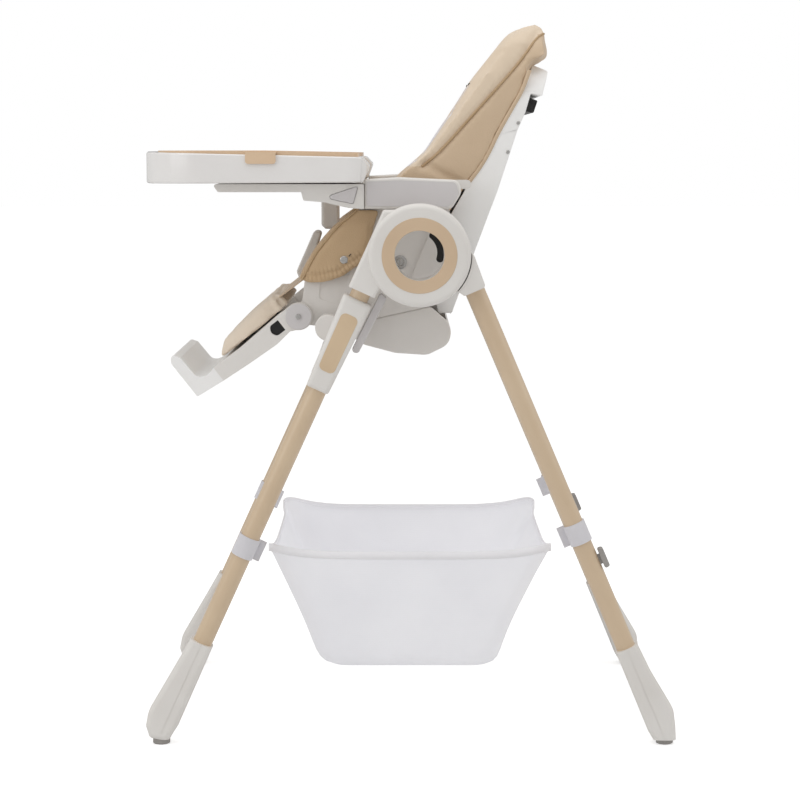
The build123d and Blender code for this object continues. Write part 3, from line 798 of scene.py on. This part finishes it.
def tube(name: str, points: Sequence[Sequence[float]], radius: float, finish: Finish) -> bpy.types.Object:
    """Round cord through points, with closed ends.

    Args:
        name: the piece's name.
        points: the points of its middle line.
        radius: its radius.
        finish: its finish.

    Returns:
        The cord as a mesh.
    """
    path = bpy.data.curves.new(name, "CURVE")
    path.dimensions = "3D"
    path.bevel_depth = radius
    path.bevel_resolution = 3
    path.use_fill_caps = True
    run = path.splines.new("POLY")
    run.points.add(len(points) - 1)
    for target, point in zip(run.points, points):
        target.co = (*point, 1)
    holder = bpy.data.objects.new(name + "_path", path)
    bpy.context.scene.collection.objects.link(holder)
    mesh = bpy.data.meshes.new_from_object(holder)
    bpy.data.objects.remove(holder)
    mesh.name = name
    piece = bpy.data.objects.new(name, mesh)
    bpy.context.scene.collection.objects.link(piece)
    mesh.shade_smooth()
    return dress(piece, finish)


def band_on(
    name: str,
    tree: BVHTree,
    centres: Sequence[Point],
    across: Point,
    towards: Point,
    width: float,
    thickness: float,
    finish: Finish,
) -> bpy.types.Object:
    """Flat tape laid on a surface.

    Args:
        name: the piece's name.
        tree: search tree of what it lies on.
        centres: points above its middle line.
        across: direction of its width.
        towards: direction down to the surface.
        width: the tape's width.
        thickness: the tape's thickness.
        finish: its finish.

    Returns:
        The tape as a closed mesh.
    """
    down = Vector(towards).normalized()
    side = Vector(across).normalized()
    shares = (-0.5, -0.25, 0.0, 0.25, 0.5)
    points = []
    last = [0.05] * len(shares)
    for centre in centres:
        for index, share in enumerate(shares):
            start = Vector(centre) + side * width * share
            hit, _, _, reach = tree.ray_cast(start, down)
            last[index] = last[index] if hit is None else reach
            points.append(start + down * (last[index] + thickness * 0.1))
    piece = mesh_piece(name, points, grid_faces(len(centres), len(shares), False))
    apply_modifier(piece, "SMOOTH", factor=0.5, iterations=3)
    apply_modifier(piece, "SOLIDIFY", thickness=thickness, offset=0, use_even_offset=True)
    apply_modifier(piece, "SUBSURF", levels=1, render_levels=1)
    return dress(piece, finish)


@dataclass
class Backrest:
    """Padded back on its moulded shell, with the shoulder straps."""

    body: str = "backrest"
    stuffing: Stuffing = Stuffing(cap=9 * MM, shrink=2.5 * MM, fill=0.7)
    piping_radius: float = 1.7 * MM
    side_line: tuple[Flat, ...] = (
        (0.212, 1.030),
        (0.192, 1.028),
        (0.164, 0.986),
        (0.105, 0.921),
        (0.048, 0.857),
        (0.022, 0.836),
    )
    seam_line: tuple[Flat, ...] = (
        (0.178, 0.975),
        (0.167, 0.945),
        (0.156, 0.926),
        (0.131, 0.882),
        (0.120, 0.857),
        (0.105, 0.832),
        (0.091, 0.814),
    )
    binding_radius: float = 3 * MM
    binding_x: float = 0.1645
    crown_start: float = 0.95
    crown_stretch: float = 0.085
    fold_line: tuple[Flat, ...] = ((0.026, 0.841), (0.050, 0.826), (0.078, 0.812))
    pleat_pitch: float = 11 * MM
    panel_x: float = 0.112
    channel_heights: tuple[float, ...] = (0.835, 0.905, 0.975)
    channel_rise: float = 18 * MM
    strap_x: float = 0.053
    strap_width: float = 0.026
    slot_half: float = 0.019

    def cushion(self) -> bpy.types.Object:
        """The back cushion, with its side seams, its sewn panel and the fold over the armrest."""
        piece = cushion_blank("backrest_pad", "back_cushion", self.stuffing)
        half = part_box("backrest_pad")[1].x

        def share(points: np.ndarray) -> np.ndarray:
            """Holds the hidden lower end and the back, which lies against the shell."""
            behind = np.clip((0.62 * (points[:, 1] - 0.0) + 0.90 - points[:, 2]) / 0.06, 0, 1)
            low = np.clip((points[:, 2] - 0.72) / 0.08, 0, 1)
            side = np.clip((half - np.abs(points[:, 0])) / 0.03, 0.45, 1)
            return np.clip(1.15 - behind, 0.15, 1) * low * side

        inflate(piece, self.stuffing, share)
        apply_modifier(piece, "SUBSURF", levels=1, render_levels=1)
        points = coordinates(piece)
        facing = normals(piece)
        flat = points[:, 1:]
        outer = np.clip((np.abs(facing[:, 0]) - 0.35) / 0.3, 0, 1)
        front = np.clip((-facing[:, 1] * 0.8 + facing[:, 2] * 0.5 - 0.35) / 0.3, 0, 1) * (1 - outer)
        depth = bell(distance_to_line(flat, self.side_line), 5 * MM) * 3.2 * MM * outer
        depth += bell(distance_to_line(flat, self.fold_line), 6 * MM) * 3.5 * MM * outer
        pleats = np.cos(along_line(flat, self.side_line) * 2 * math.pi / self.pleat_pitch)
        depth += bell(distance_to_line(flat, self.side_line), 12 * MM) * 0.35 * MM * pleats * outer
        panel = np.abs(np.abs(points[:, 0]) - self.panel_x)
        depth += bell(panel, 5 * MM) * 4 * MM * front * np.clip((points[:, 2] - 0.76) / 0.05, 0, 1)
        for height in self.channel_heights:
            bend = height + self.channel_rise * np.cos(points[:, 0] / self.panel_x * math.pi / 2)
            inside = np.clip((self.panel_x - np.abs(points[:, 0])) / 0.01, 0, 1)
            depth += bell(points[:, 2] - bend, 5 * MM) * 3 * MM * front * inside
        press(piece, depth)
        rumple(piece, 22, 1.6 * MM, outer + 0.6 * front)
        crown = coordinates(piece)
        crown[:, 2] += np.clip(crown[:, 2] - self.crown_start, 0, None) * self.crown_stretch
        set_coordinates(piece, crown)
        dress(piece, HIDE)
        piece.data.materials.append(FACE_HIDE.material())
        piece.data.materials.append(SIDE_HIDE.material())
        self.colour_panels(piece)
        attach(piece, self.body)
        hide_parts("backrest_pad")
        return piece

    def colour_panels(self, piece: bpy.types.Object) -> None:
        """Gives the face of the cushion a lighter cloth than its sides."""
        line = np.array(self.side_line[1:])
        for polygon in piece.data.polygons:
            centre = polygon.center
            height = np.interp(centre.y, line[::-1, 0], line[::-1, 1])
            ahead = centre.z > height
            polygon.material_index = 1 if ahead else 0

    def piping(self, tree: BVHTree) -> list[bpy.types.Object]:
        """Piping along both side seams, and the binding that closes the cushion on the shell."""
        made = []
        seam = smooth_path(self.side_line, 5 * MM)
        edge = smooth_path(self.seam_line, 5 * MM)
        for side, sign in (("left", 1), ("right", -1)):
            start = [(CAST_FROM_X * sign, y, z) for y, z in seam]
            made.append(cord_on(f"back_piping_{side}", tree, start, (-sign, 0, 0), self.piping_radius, SEAM))
            close = [(self.binding_x * sign, y, z) for y, z in edge]
            made.append(tube(f"back_binding_{side}", close, self.binding_radius, HIDE))
        return made

    def straps(self, tree: BVHTree) -> list[bpy.types.Object]:
        """Shoulder straps that lie on the face of the cushion."""
        made = []
        low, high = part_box("shoulder_harness")
        steps = 24
        for side, sign in (("left", 1), ("right", -1)):
            centres = []
            for step in range(steps + 1):
                share = step / steps
                z = high.z + 0.004 + (low.z - 0.03 - high.z) * share
                y = high.y + (low.y - 0.022 - high.y) * share
                centres.append((self.strap_x * sign * (1 - 0.25 * share), y - 0.06, z + 0.045))
            made.append(
                band_on(
                    f"shoulder_strap_{side}",
                    tree,
                    centres,
                    (1, 0, 0),
                    (0, 0.8, -0.6),
                    self.strap_width,
                    2 * MM,
                    TAPE,
                )
            )
        return made

    def slots(self, tree: BVHTree) -> list[bpy.types.Object]:
        """Black cords laid in as painted shade, where the cushion's opening for each shoulder strap is in
        shade.
        """
        made = []
        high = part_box("shoulder_harness")[1]
        for side, sign in (("left", 1), ("right", -1)):
            line = []
            for step in range(9):
                x = self.strap_x * sign + self.slot_half * (step / 4 - 1)
                line.append((x, high.y - 0.06, high.z + 0.049))
            # painted shade: a black cord sunk in the cushion stands for the shade in the opening
            made.append(cord_on(f"shoulder_slot_{side}", tree, line, (0, 0.8, -0.6), 1.3 * MM, BLACK_AND_SHADE, sink=0.7))
        return made

    def build(self) -> None:
        """Builds and dresses the backrest."""
        cushion = self.cushion()
        tree = surface_tree(cushion)
        for piece in self.piping(tree) + self.slots(tree):
            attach(piece, self.body)
        straps = self.straps(tree)
        for piece in straps:
            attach(piece, self.body)
        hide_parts("shoulder_harness")
        soften("backrest_shell", SHELL_WHITE, Edge.ROUNDED, 1.2)
        soften("recline_lever", BLACK_AND_SHADE)
        soften("backrest_screws", STEEL)
        soften("recline_pins", STEEL)
        LOG.info("backrest: cushion, piping, straps and shell")


@dataclass
class Seat:
    """Seat cushion, side covers, lap belt, moulded tub and armrests."""

    body: str = "seat"
    stuffing: Stuffing = Stuffing(cap=6 * MM, shrink=2 * MM, voxel=5 * MM, fill=0.6)
    wing_stuffing: Stuffing = Stuffing(cap=3.5 * MM, shrink=0.4 * MM, voxel=3.5 * MM, pressure=3, fill=0.5)
    wing_front: tuple[Flat, ...] = (
        (-0.076, 0.775),
        (-0.105, 0.751),
        (-0.127, 0.724),
        (-0.139, 0.708),
        (-0.156, 0.675),
    )
    wing_gather: tuple[Flat, ...] = ((-0.154, 0.679), (-0.132, 0.679), (-0.099, 0.686), (-0.066, 0.708))
    gather_pitch: float = 6 * MM
    button: Flat = (-0.091, 0.702)
    channel_places: tuple[float, ...] = (-0.105, -0.030)
    panel_x: float = 0.112

    def cushion(self) -> bpy.types.Object:
        """The seat cushion with its cross channels."""
        piece = cushion_blank("seat_pad", "seat_cushion", self.stuffing)

        def share(points: np.ndarray) -> np.ndarray:
            """Keeps the underside flat on the pan."""
            return np.clip((points[:, 2] - 0.660) / 0.012, 0, 1)

        inflate(piece, self.stuffing, share)
        apply_modifier(piece, "SUBSURF", levels=1, render_levels=1)
        points = coordinates(piece)
        top = np.clip((normals(piece)[:, 2] - 0.4) / 0.3, 0, 1)
        depth = np.zeros(len(points))
        for y in self.channel_places:
            depth += bell(points[:, 1] - y - 0.01 * np.cos(points[:, 0] * 12), 5 * MM) * 3 * MM * top
        depth += bell(np.abs(points[:, 0]) - self.panel_x, 5 * MM) * 3 * MM * top
        press(piece, depth)
        rumple(piece, 24, 1.2 * MM, top)
        dress(piece, HIDE)
        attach(piece, self.body)
        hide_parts("seat_pad")
        return piece

    def side_covers(self) -> None:
        """Padded covers over the front of both seat sides, gathered along the bottom, with piping in front and
        a black cord of painted shade by each button.
        """
        piece = cushion_blank("side_wings", "side_covers", self.wing_stuffing)

        def share(points: np.ndarray) -> np.ndarray:
            """Holds the upper end, which is under the armrest."""
            return np.clip((0.772 - points[:, 2]) / 0.02, 0, 1)

        inflate(piece, self.wing_stuffing, share)
        apply_modifier(piece, "SUBSURF", levels=1, render_levels=1)
        points = coordinates(piece)
        flat = points[:, 1:]
        outer = np.clip((np.abs(normals(piece)[:, 0]) - 0.3) / 0.3, 0, 1)
        gather = distance_to_line(flat, self.wing_gather)
        ruche = np.cos(along_line(flat, self.wing_gather) * 2 * math.pi / self.gather_pitch)
        depth = bell(gather, 2.8 * MM) * 2.2 * MM * outer
        depth += bell(gather - 4 * MM, 5 * MM) * 0.9 * MM * ruche * outer
        depth += bell(np.linalg.norm(flat - np.array(self.button), axis=1), 9 * MM) * 1.6 * MM * outer
        depth += bell(distance_to_line(flat, self.wing_front) - 5 * MM, 3 * MM) * 0.7 * MM * outer
        press(piece, depth)
        rumple(piece, 30, 1.3 * MM, outer)
        dress(piece, SIDE_HIDE)
        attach(piece, self.body)
        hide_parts("side_wings")
        tree = surface_tree(piece)
        for side, sign in (("left", 1), ("right", -1)):
            path = [(y + 0.0045, z - 0.001) for y, z in smooth_path(self.wing_front, 4 * MM)]
            line = [(CAST_FROM_X * sign, y, z) for y, z in path]
            front = cord_on(f"side_piping_{side}", tree, line, (-sign, 0, 0), 1.5 * MM, SEAM)
            # painted shade: a short black cord stands for the shade inside the opening beside the button
            start_y = self.button[0] + 7 * MM
            start_z = self.button[1] + 5 * MM
            line = [(CAST_FROM_X * sign, start_y + 1.0 * MM * i, start_z + 1.2 * MM * i) for i in range(4)]
            slit = cord_on(f"button_slit_{side}", tree, line, (-sign, 0, 0), 0.7 * MM, BLACK_AND_SHADE)
            for made in (front, slit):
                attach(made, self.body)

    def belt(self, cushion: bpy.types.Object) -> None:
        """Lap belt and crotch strap over the seat cushion."""
        tree = surface_tree(cushion)
        low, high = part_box("lap_harness")
        middle_y = high.y - 13 * MM
        span = [low.x + (high.x - low.x) * i / 30 for i in range(31)]
        across = [(x, middle_y, high.z + 0.03) for x in span]
        lap = band_on("lap_belt", tree, across, (0, 1, 0), (0, 0, -1), 26 * MM, 2 * MM, TAPE)
        run = [middle_y + (low.y - middle_y) * i / 10 for i in range(11)]
        forward = [(0, y, high.z + 0.03) for y in run]
        crotch = band_on("crotch_strap", tree, forward, (1, 0, 0), (0, 0, -1), 26 * MM, 2 * MM, TAPE)
        for piece in (lap, crotch):
            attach(piece, self.body)
        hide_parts("lap_harness")

    def build(self) -> None:
        """Builds and dresses the seat."""
        cushion = self.cushion()
        self.side_covers()
        self.belt(cushion)
        for node in ("seat_tub", "seat_mounts", "recline_plates"):
            soften(node, HOUSING)
        soften("seat_base", HOUSING)
        soften("front_guard", WHITE, Edge.ROUNDED, 1.5)
        for node in ("recline_tracks", "harness_buckle"):
            soften(node, BLACK_AND_SHADE)
        for node in ("seat_screws", "wing_buttons"):
            soften(node, STEEL)
        for side in ("left", "right"):
            soften(f"armrest_{side}", WHITE)
            soften(f"slider_{side}", WHITE)
            soften(f"height_trigger_{side}", GREY_AND_SHADE)
        # painted shade: the armrest covers are grey for the shade on the white armrests' sides
        soften("armrest_covers", GREY_AND_SHADE)
        soften("slider_inlays", INLAY)
        LOG.info("seat: cushion, side covers, belt, tub and armrests")


@dataclass
class Footrest:
    """Calf cushion on its board, the foot plate and the cloth that joins it to the seat."""

    body: str = "footrest"
    stuffing: Stuffing = Stuffing(cap=6 * MM, shrink=1.5 * MM, voxel=5 * MM, fill=0.6)
    slope: float = math.radians(38)
    flap_start: Flat = (-0.1455, 0.6755)
    flap_half: float = 0.150
    wrinkle_pitch: float = 12 * MM

    def place(self, away: float, out: float) -> Flat:
        """Place on the footrest as (y, z).

        Args:
            away: distance from the hinge along the board.
            out: distance out of the board's face.

        Returns:
            The same place in the row frame.
        """
        hinge = self.hinge()
        y = hinge[0] - away * math.cos(self.slope) - out * math.sin(self.slope)
        z = hinge[1] - away * math.sin(self.slope) + out * math.cos(self.slope)
        return y, z

    def hinge(self) -> Flat:
        """Place of the footrest's hinge as (y, z)."""
        joint = next(j for j in frame["joints"] if j["name"] == "footrest_tilt")
        return joint["pos_m"][1], joint["pos_m"][2]

    def cushion(self) -> bpy.types.Object:
        """The calf cushion, wrinkled near the hinge."""
        piece = cushion_blank("calf_pad", "calf_cushion", self.stuffing)
        direction = np.array((-math.cos(self.slope), -math.sin(self.slope)))
        face = np.array((-math.sin(self.slope), math.cos(self.slope)))
        hinge = np.array(self.hinge())

        def share(points: np.ndarray) -> np.ndarray:
            """Keeps the underside flat on the board."""
            out = (points[:, 1:] - hinge) @ face
            return np.clip((out - 0.021) / 0.01, 0, 1)

        inflate(piece, self.stuffing, share)
        apply_modifier(piece, "SUBSURF", levels=1, render_levels=1)
        points = coordinates(piece)
        away = (points[:, 1:] - hinge) @ direction
        near = np.clip((0.045 - away) / 0.03, 0, 1)
        depth = near * 0.7 * MM * np.cos(away * 2 * math.pi / self.wrinkle_pitch + np.sin(points[:, 0] * 30))
        depth += bell(np.abs(points[:, 0]) - 0.085, 5 * MM) * 2.5 * MM
        press(piece, depth)
        rumple(piece, 26, 1.5 * MM, np.ones(len(points)))
        # painted light: the calf cushion takes a lit copy of the face cloth
        dress(piece, CALF_LIT_HIDE)
        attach(piece, self.body)
        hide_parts("calf_pad")
        return piece

    def flap(self) -> bpy.types.Object:
        """Cloth from the seat's front edge down to the calf cushion near the hinge, sagging a little."""
        start = self.flap_start
        end = self.place(0.010, 0.038)
        rows, columns = 13, 41
        half = self.flap_half
        points = []
        for row in range(rows):
            share = row / (rows - 1)
            y = start[0] + (end[0] - start[0]) * share
            z = start[1] + (end[1] - start[1]) * share
            bow = math.sin(share * math.pi)
            for column in range(columns):
                x = half * (2 * column / (columns - 1) - 1)
                wave = 1.2 * MM * bow * math.cos(x * 95 + 3 * share)
                points.append((x, y - 3 * MM * bow + wave, z - 2 * MM * bow + wave))
        piece = mesh_piece("seat_front_flap", points, grid_faces(rows, columns, False))
        apply_modifier(piece, "SOLIDIFY", thickness=2.2 * MM, offset=0)
        apply_modifier(piece, "SUBSURF", levels=1, render_levels=1)
        dress(piece, HIDE)
        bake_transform(piece)
        return piece

    def build(self) -> None:
        """Builds and dresses the footrest."""
        self.cushion()
        self.flap()
        soften("calf_board", WHITE)
        soften("foot_plate", SHELL_WHITE)
        soften("footrest_caps", GREY_AND_SHADE)
        soften("footrest_latches", BLACK_AND_SHADE)
        soften("hinge_bolts", STEEL)
        LOG.info("footrest: cushion, flap and board")


@dataclass
class Tray:
    """Glossy tray, the food tray in it, its carrier and its release buttons."""

    def build(self) -> None:
        """Dresses the tray's pieces."""
        soften("tray_top", TRAY_GLOSS, Edge.ROUNDED, 3.0)
        soften("tray_insert", TRAY_BEIGE)
        soften("tray_base", WHITE)
        soften("crotch_post", WHITE, Edge.ROUNDED, 1.2)
        for side in ("left", "right"):
            soften(f"tray_button_{side}", GREY_AND_SHADE)
        LOG.info("tray: top, food tray, carrier and buttons")


@dataclass
class Basket:
    """Cloth basket hung between the legs from webbing loops."""

    body: str = "front_frame"
    columns: int = 120
    cloth: float = 1.2 * MM
    fold_height: float = 3.5 * MM
    floor_z: float = 0.0885
    droop: float = 6 * MM
    ear_rise: float = 13 * MM
    ear_reach: float = 18 * MM
    rows: tuple[tuple[float, float, float, float, float], ...] = (
        (0.0885, -0.100, 0.112, 0.132, 0.030),
        (0.0900, -0.118, 0.128, 0.152, 0.032),
        (0.1010, -0.133, 0.139, 0.166, 0.034),
        (0.1250, -0.142, 0.146, 0.173, 0.034),
        (0.1600, -0.153, 0.158, 0.183, 0.033),
        (0.2000, -0.168, 0.175, 0.196, 0.032),
        (0.2400, -0.183, 0.191, 0.207, 0.030),
        (0.2720, -0.195, 0.204, 0.216, 0.028),
        (0.2800, -0.197, 0.206, 0.217, 0.028),
    )

    def ring(self, front: float, rear: float, half: float, corner: float, z: float) -> list[Point]:
        """Level ring of points on a rounded rectangle.

        Args:
            front: the front side's y.
            rear: the rear side's y.
            half: half the width in x.
            corner: the corners' radius.
            z: the ring's height.

        Returns:
            The points, evenly spaced by angle share along each side and corner.
        """
        points = []
        quarter = self.columns // 4
        centres = ((half - corner, rear - corner), (-half + corner, rear - corner))
        centres += ((-half + corner, front + corner), (half - corner, front + corner))
        for index, centre in enumerate(centres):
            following = centres[(index + 1) % 4]
            bend = quarter // 3
            for step in range(bend):
                turn = math.radians(90 * index + 90 * step / bend)
                points.append((centre[0] + corner * math.cos(turn), centre[1] + corner * math.sin(turn), z))
            turn = math.radians(90 * (index + 1))
            start = (centre[0] + corner * math.cos(turn), centre[1] + corner * math.sin(turn))
            stop = (following[0] + corner * math.cos(turn), following[1] + corner * math.sin(turn))
            straight = quarter - bend
            for step in range(straight):
                share = step / straight
                x = start[0] + (stop[0] - start[0]) * share
                y = start[1] + (stop[1] - start[1]) * share
                points.append((x, y, z))
        return points

    def corner_share(self, across: float, along: float, half: float, reach: float) -> float:
        """How far a place on the wall belongs to a corner, 0 on the sides to 1 at the corner."""
        return min(abs(across) / half, 1) ** 6 * min(abs(along) / reach, 1) ** 6

    def rim_rise(self, corner_share: float) -> float:
        """Height of the rim over its mean: it droops on the sides and is pulled up at the corners."""
        return self.ear_rise * corner_share - self.droop * (1 - corner_share)

    def shell(self) -> bpy.types.Object:
        """The basket's cloth: tapered walls with soft folds, a sagging floor and a drooping rim."""
        points = []
        top = self.rows[-1][0]
        low = self.rows[0][0]
        for z, front, rear, half, corner in self.rows:
            share = (z - low) / (top - low)
            for x, y, height in self.ring(front, rear, half, corner, z):
                middle = (front + rear) / 2
                corner_share = self.corner_share(x, y - middle, half, rear - middle)
                droop = share**2 * self.rim_rise(corner_share)
                pull = self.ear_reach * share**3 * corner_share
                slack = self.fold_height * math.sin(share * math.pi) ** 0.5
                fold = noise.noise(Vector((x * 16, y * 16, z * 7))) * slack
                outwards = Vector((x, y - middle, 0)).normalized()
                out = fold - 1.5 * MM + pull
                points.append((x + outwards.x * out, y + outwards.y * out, height + droop))
        faces = grid_faces(len(self.rows), self.columns, True)
        rings = [4 / 5, 3 / 5, 2 / 5, 1 / 5]
        base = [Vector(p) for p in points[: self.columns]]
        centre = sum(base, Vector()) / len(base)
        inner_start = 0
        for share in rings:
            start = len(points)
            for point in base:
                at = centre + (point - centre) * share
                dip = noise.noise(Vector((at.x * 18, at.y * 18, 3))) * 2 * MM
                points.append((at.x, at.y, max(at.z - 0.5 * MM + dip, self.floor_z)))
            for column in range(self.columns):
                after = (column + 1) % self.columns
                faces.append((start + column, start + after, inner_start + after, inner_start + column))
            inner_start = start
        points.append((centre.x, centre.y, self.floor_z))
        last = len(points) - 1
        faces += [(last, inner_start + (c + 1) % self.columns, inner_start + c) for c in range(self.columns)]
        piece = mesh_piece("basket_shell", points, faces)
        apply_modifier(piece, "SUBSURF", levels=1, render_levels=1)
        apply_modifier(piece, "SOLIDIFY", thickness=self.cloth, offset=0)
        # painted light: the basket cloth glows to look lit through
        dress(piece, MESH_CLOTH)
        return piece

    def rim(self) -> list[Point]:
        """Places along the rim of the shell."""
        z, front, rear, half, corner = self.rows[-1]
        middle = (front + rear) / 2
        places = []
        for x, y, height in self.ring(front, rear, half, corner, z):
            corner_share = self.corner_share(x, y - middle, half, rear - middle)
            outwards = Vector((x, y - middle, 0)).normalized()
            out = self.ear_reach * corner_share - 1.5 * MM
            rise = self.rim_rise(corner_share)
            places.append((x + outwards.x * out, y + outwards.y * out, height + rise))
        return places

    def binding(self) -> bpy.types.Object:
        """Folded tape sewn over the rim."""
        rim = self.rim()
        top = [(-1.6, 0.0), (-1.2, 2.0), (0.0, 2.6), (1.2, 2.0), (1.6, 0.0)]
        profile = [*top, (1.4, -9.0), (-1.4, -9.0)]
        points = []
        middle = sum((Vector(p) for p in rim), Vector()) / len(rim)
        for place in rim:
            outwards = Vector((place[0] - middle.x, place[1] - middle.y, 0)).normalized()
            for out, up in profile:
                points.append(Vector(place) + outwards * out * MM + Vector((0, 0, up * MM)))
        count = len(profile)
        faces = []
        for index in range(len(rim)):
            near = index * count
            far = (index + 1) % len(rim) * count
            for corner in range(count):
                following = (corner + 1) % count
                faces.append((near + corner, near + following, far + following, far + corner))
        piece = mesh_piece("basket_binding", points, faces)
        # painted light: the binding's tape glows to look brighter
        return dress(piece, RIM_TAPE)

    def build(self) -> None:
        """Builds the basket and dresses its straps."""
        shell = self.shell()
        binding = self.binding()
        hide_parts("basket")
        for piece in (shell, binding):
            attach(piece, self.body)
            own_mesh(piece)
        soften("front_straps", TAPE)
        soften("rear_straps", TAPE)
        LOG.info("basket: shell, binding and straps")


@dataclass
class Legs:
    """Painted leg tubes with their hubs, boots, pads and crossbars."""

    def build(self) -> None:
        """Dresses the legs."""
        for side in ("left", "right"):
            for end in ("front", "rear"):
                soften(f"{end}_tube_{side}", PAINT)
                soften(f"{end}_foot_{side}", WHITE)
                soften(f"{end}_hub_{side}", WHITE)
        for node in ("front_crossbar", "rear_crossbar"):
            soften(node, PAINT)
        for node in ("front_foot_pads", "rear_foot_pads", "stand_bumpers"):
            soften(node, RUBBER)
        soften("hub_rings", TRIM)
        soften("hub_retainers", WHITE)
        LOG.info("legs: tubes, hubs, boots and crossbars")


# Studio


@dataclass
class Studio:
    """Floor, lights and camera."""

    camera_place: Point = (3.373, -0.010, 0.860)
    fall: float = 250 / 2190
    lens: float = 98.6
    world_strength: float = 0.62
    floor_lift: float = 0.52
    lights: tuple[tuple[str, Point, Point, float, float], ...] = (
        ("top", (0.5, -0.4, 2.9), (0, 0, 0.5), 2.6, 20.0),
        ("front", (1.8, -2.6, 1.7), (0, 0, 0.7), 1.8, 13.0),
        ("back", (0.6, 2.8, 1.9), (0, 0, 0.7), 1.8, 10.0),
    )

    def floor(self) -> None:
        """Plain pale floor."""
        deselect()
        bpy.ops.mesh.primitive_plane_add(size=60)
        ground = bpy.context.object
        ground.name = "floor"
        paint = bpy.data.materials.new("floor_paint")
        paint.use_nodes = True
        shader = paint.node_tree.nodes["Principled BSDF"]
        surface = {"Base Color": (0.85, 0.85, 0.85, 1), "Roughness": 0.9, "Specular IOR Level": 0.1}
        feed(paint.node_tree, shader, {**surface, "Emission Color": (1, 1, 1, 1)})
        path = add_node(paint.node_tree, "ShaderNodeLightPath", {})
        factors = {0: path.outputs["Is Camera Ray"], 1: self.floor_lift}
        lift = add_node(paint.node_tree, "ShaderNodeMath", factors, operation="MULTIPLY")
        feed(paint.node_tree, shader, {"Emission Strength": lift.outputs["Value"]})
        ground.data.materials.append(paint)

    def sky(self) -> None:
        """Even pale surroundings, brighter where the camera sees them."""
        world = bpy.data.worlds.new("studio_air")
        bpy.context.scene.world = world
        world.use_nodes = True
        tree = world.node_tree
        background = tree.nodes["Background"]
        feed(tree, background, {"Color": (1, 0.995, 0.985, 1), "Strength": self.world_strength})
        seen = add_node(tree, "ShaderNodeBackground", {"Color": (1, 1, 1, 1), "Strength": 1.0})
        path = add_node(tree, "ShaderNodeLightPath", {})
        choice = {
            "Fac": path.outputs["Is Camera Ray"],
            1: background.outputs["Background"],
            2: seen.outputs["Background"],
        }
        pick = add_node(tree, "ShaderNodeMixShader", choice)
        feed(tree, tree.nodes["World Output"], {"Surface": pick.outputs["Shader"]})

    def lamps(self) -> None:
        """Large soft area lamps."""
        for name, place, target, size, power in self.lights:
            lamp = bpy.data.lights.new(name + "_lamp", "AREA")
            lamp.size = size
            lamp.energy = power
            holder = bpy.data.objects.new(name + "_lamp", lamp)
            bpy.context.scene.collection.objects.link(holder)
            holder.location = place
            holder.rotation_mode = "QUATERNION"
            holder.rotation_quaternion = (Vector(target) - Vector(place)).to_track_quat("-Z", "Y")

    def camera(self) -> None:
        """Camera square to the chair's left side, looking a little down."""
        data = bpy.data.cameras.new("camera")
        data.lens = self.lens
        data.sensor_width = 36
        data.clip_end = 100
        holder = bpy.data.objects.new("camera", data)
        bpy.context.scene.collection.objects.link(holder)
        holder.location = self.camera_place
        holder.rotation_mode = "QUATERNION"
        holder.rotation_quaternion = Vector((-1, 0, -self.fall)).to_track_quat("-Z", "Y")
        bpy.context.scene.camera = holder
        bpy.context.scene.view_settings.view_transform = "Standard"

    def build(self) -> None:
        """Builds the studio."""
        self.camera()
        self.floor()
        self.sky()
        self.lamps()
        LOG.info("studio: camera, floor, air and lamps")


def main() -> None:
    """Builds every sub-assembly in order."""
    logging.basicConfig(level=logging.INFO, format="%(message)s")
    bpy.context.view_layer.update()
    Studio().build()
    for assembly in (Legs(), Seat(), Backrest(), Footrest(), Tray(), Basket()):
        assembly.build()
    deselect()


if __name__ == "__main__":
    main()
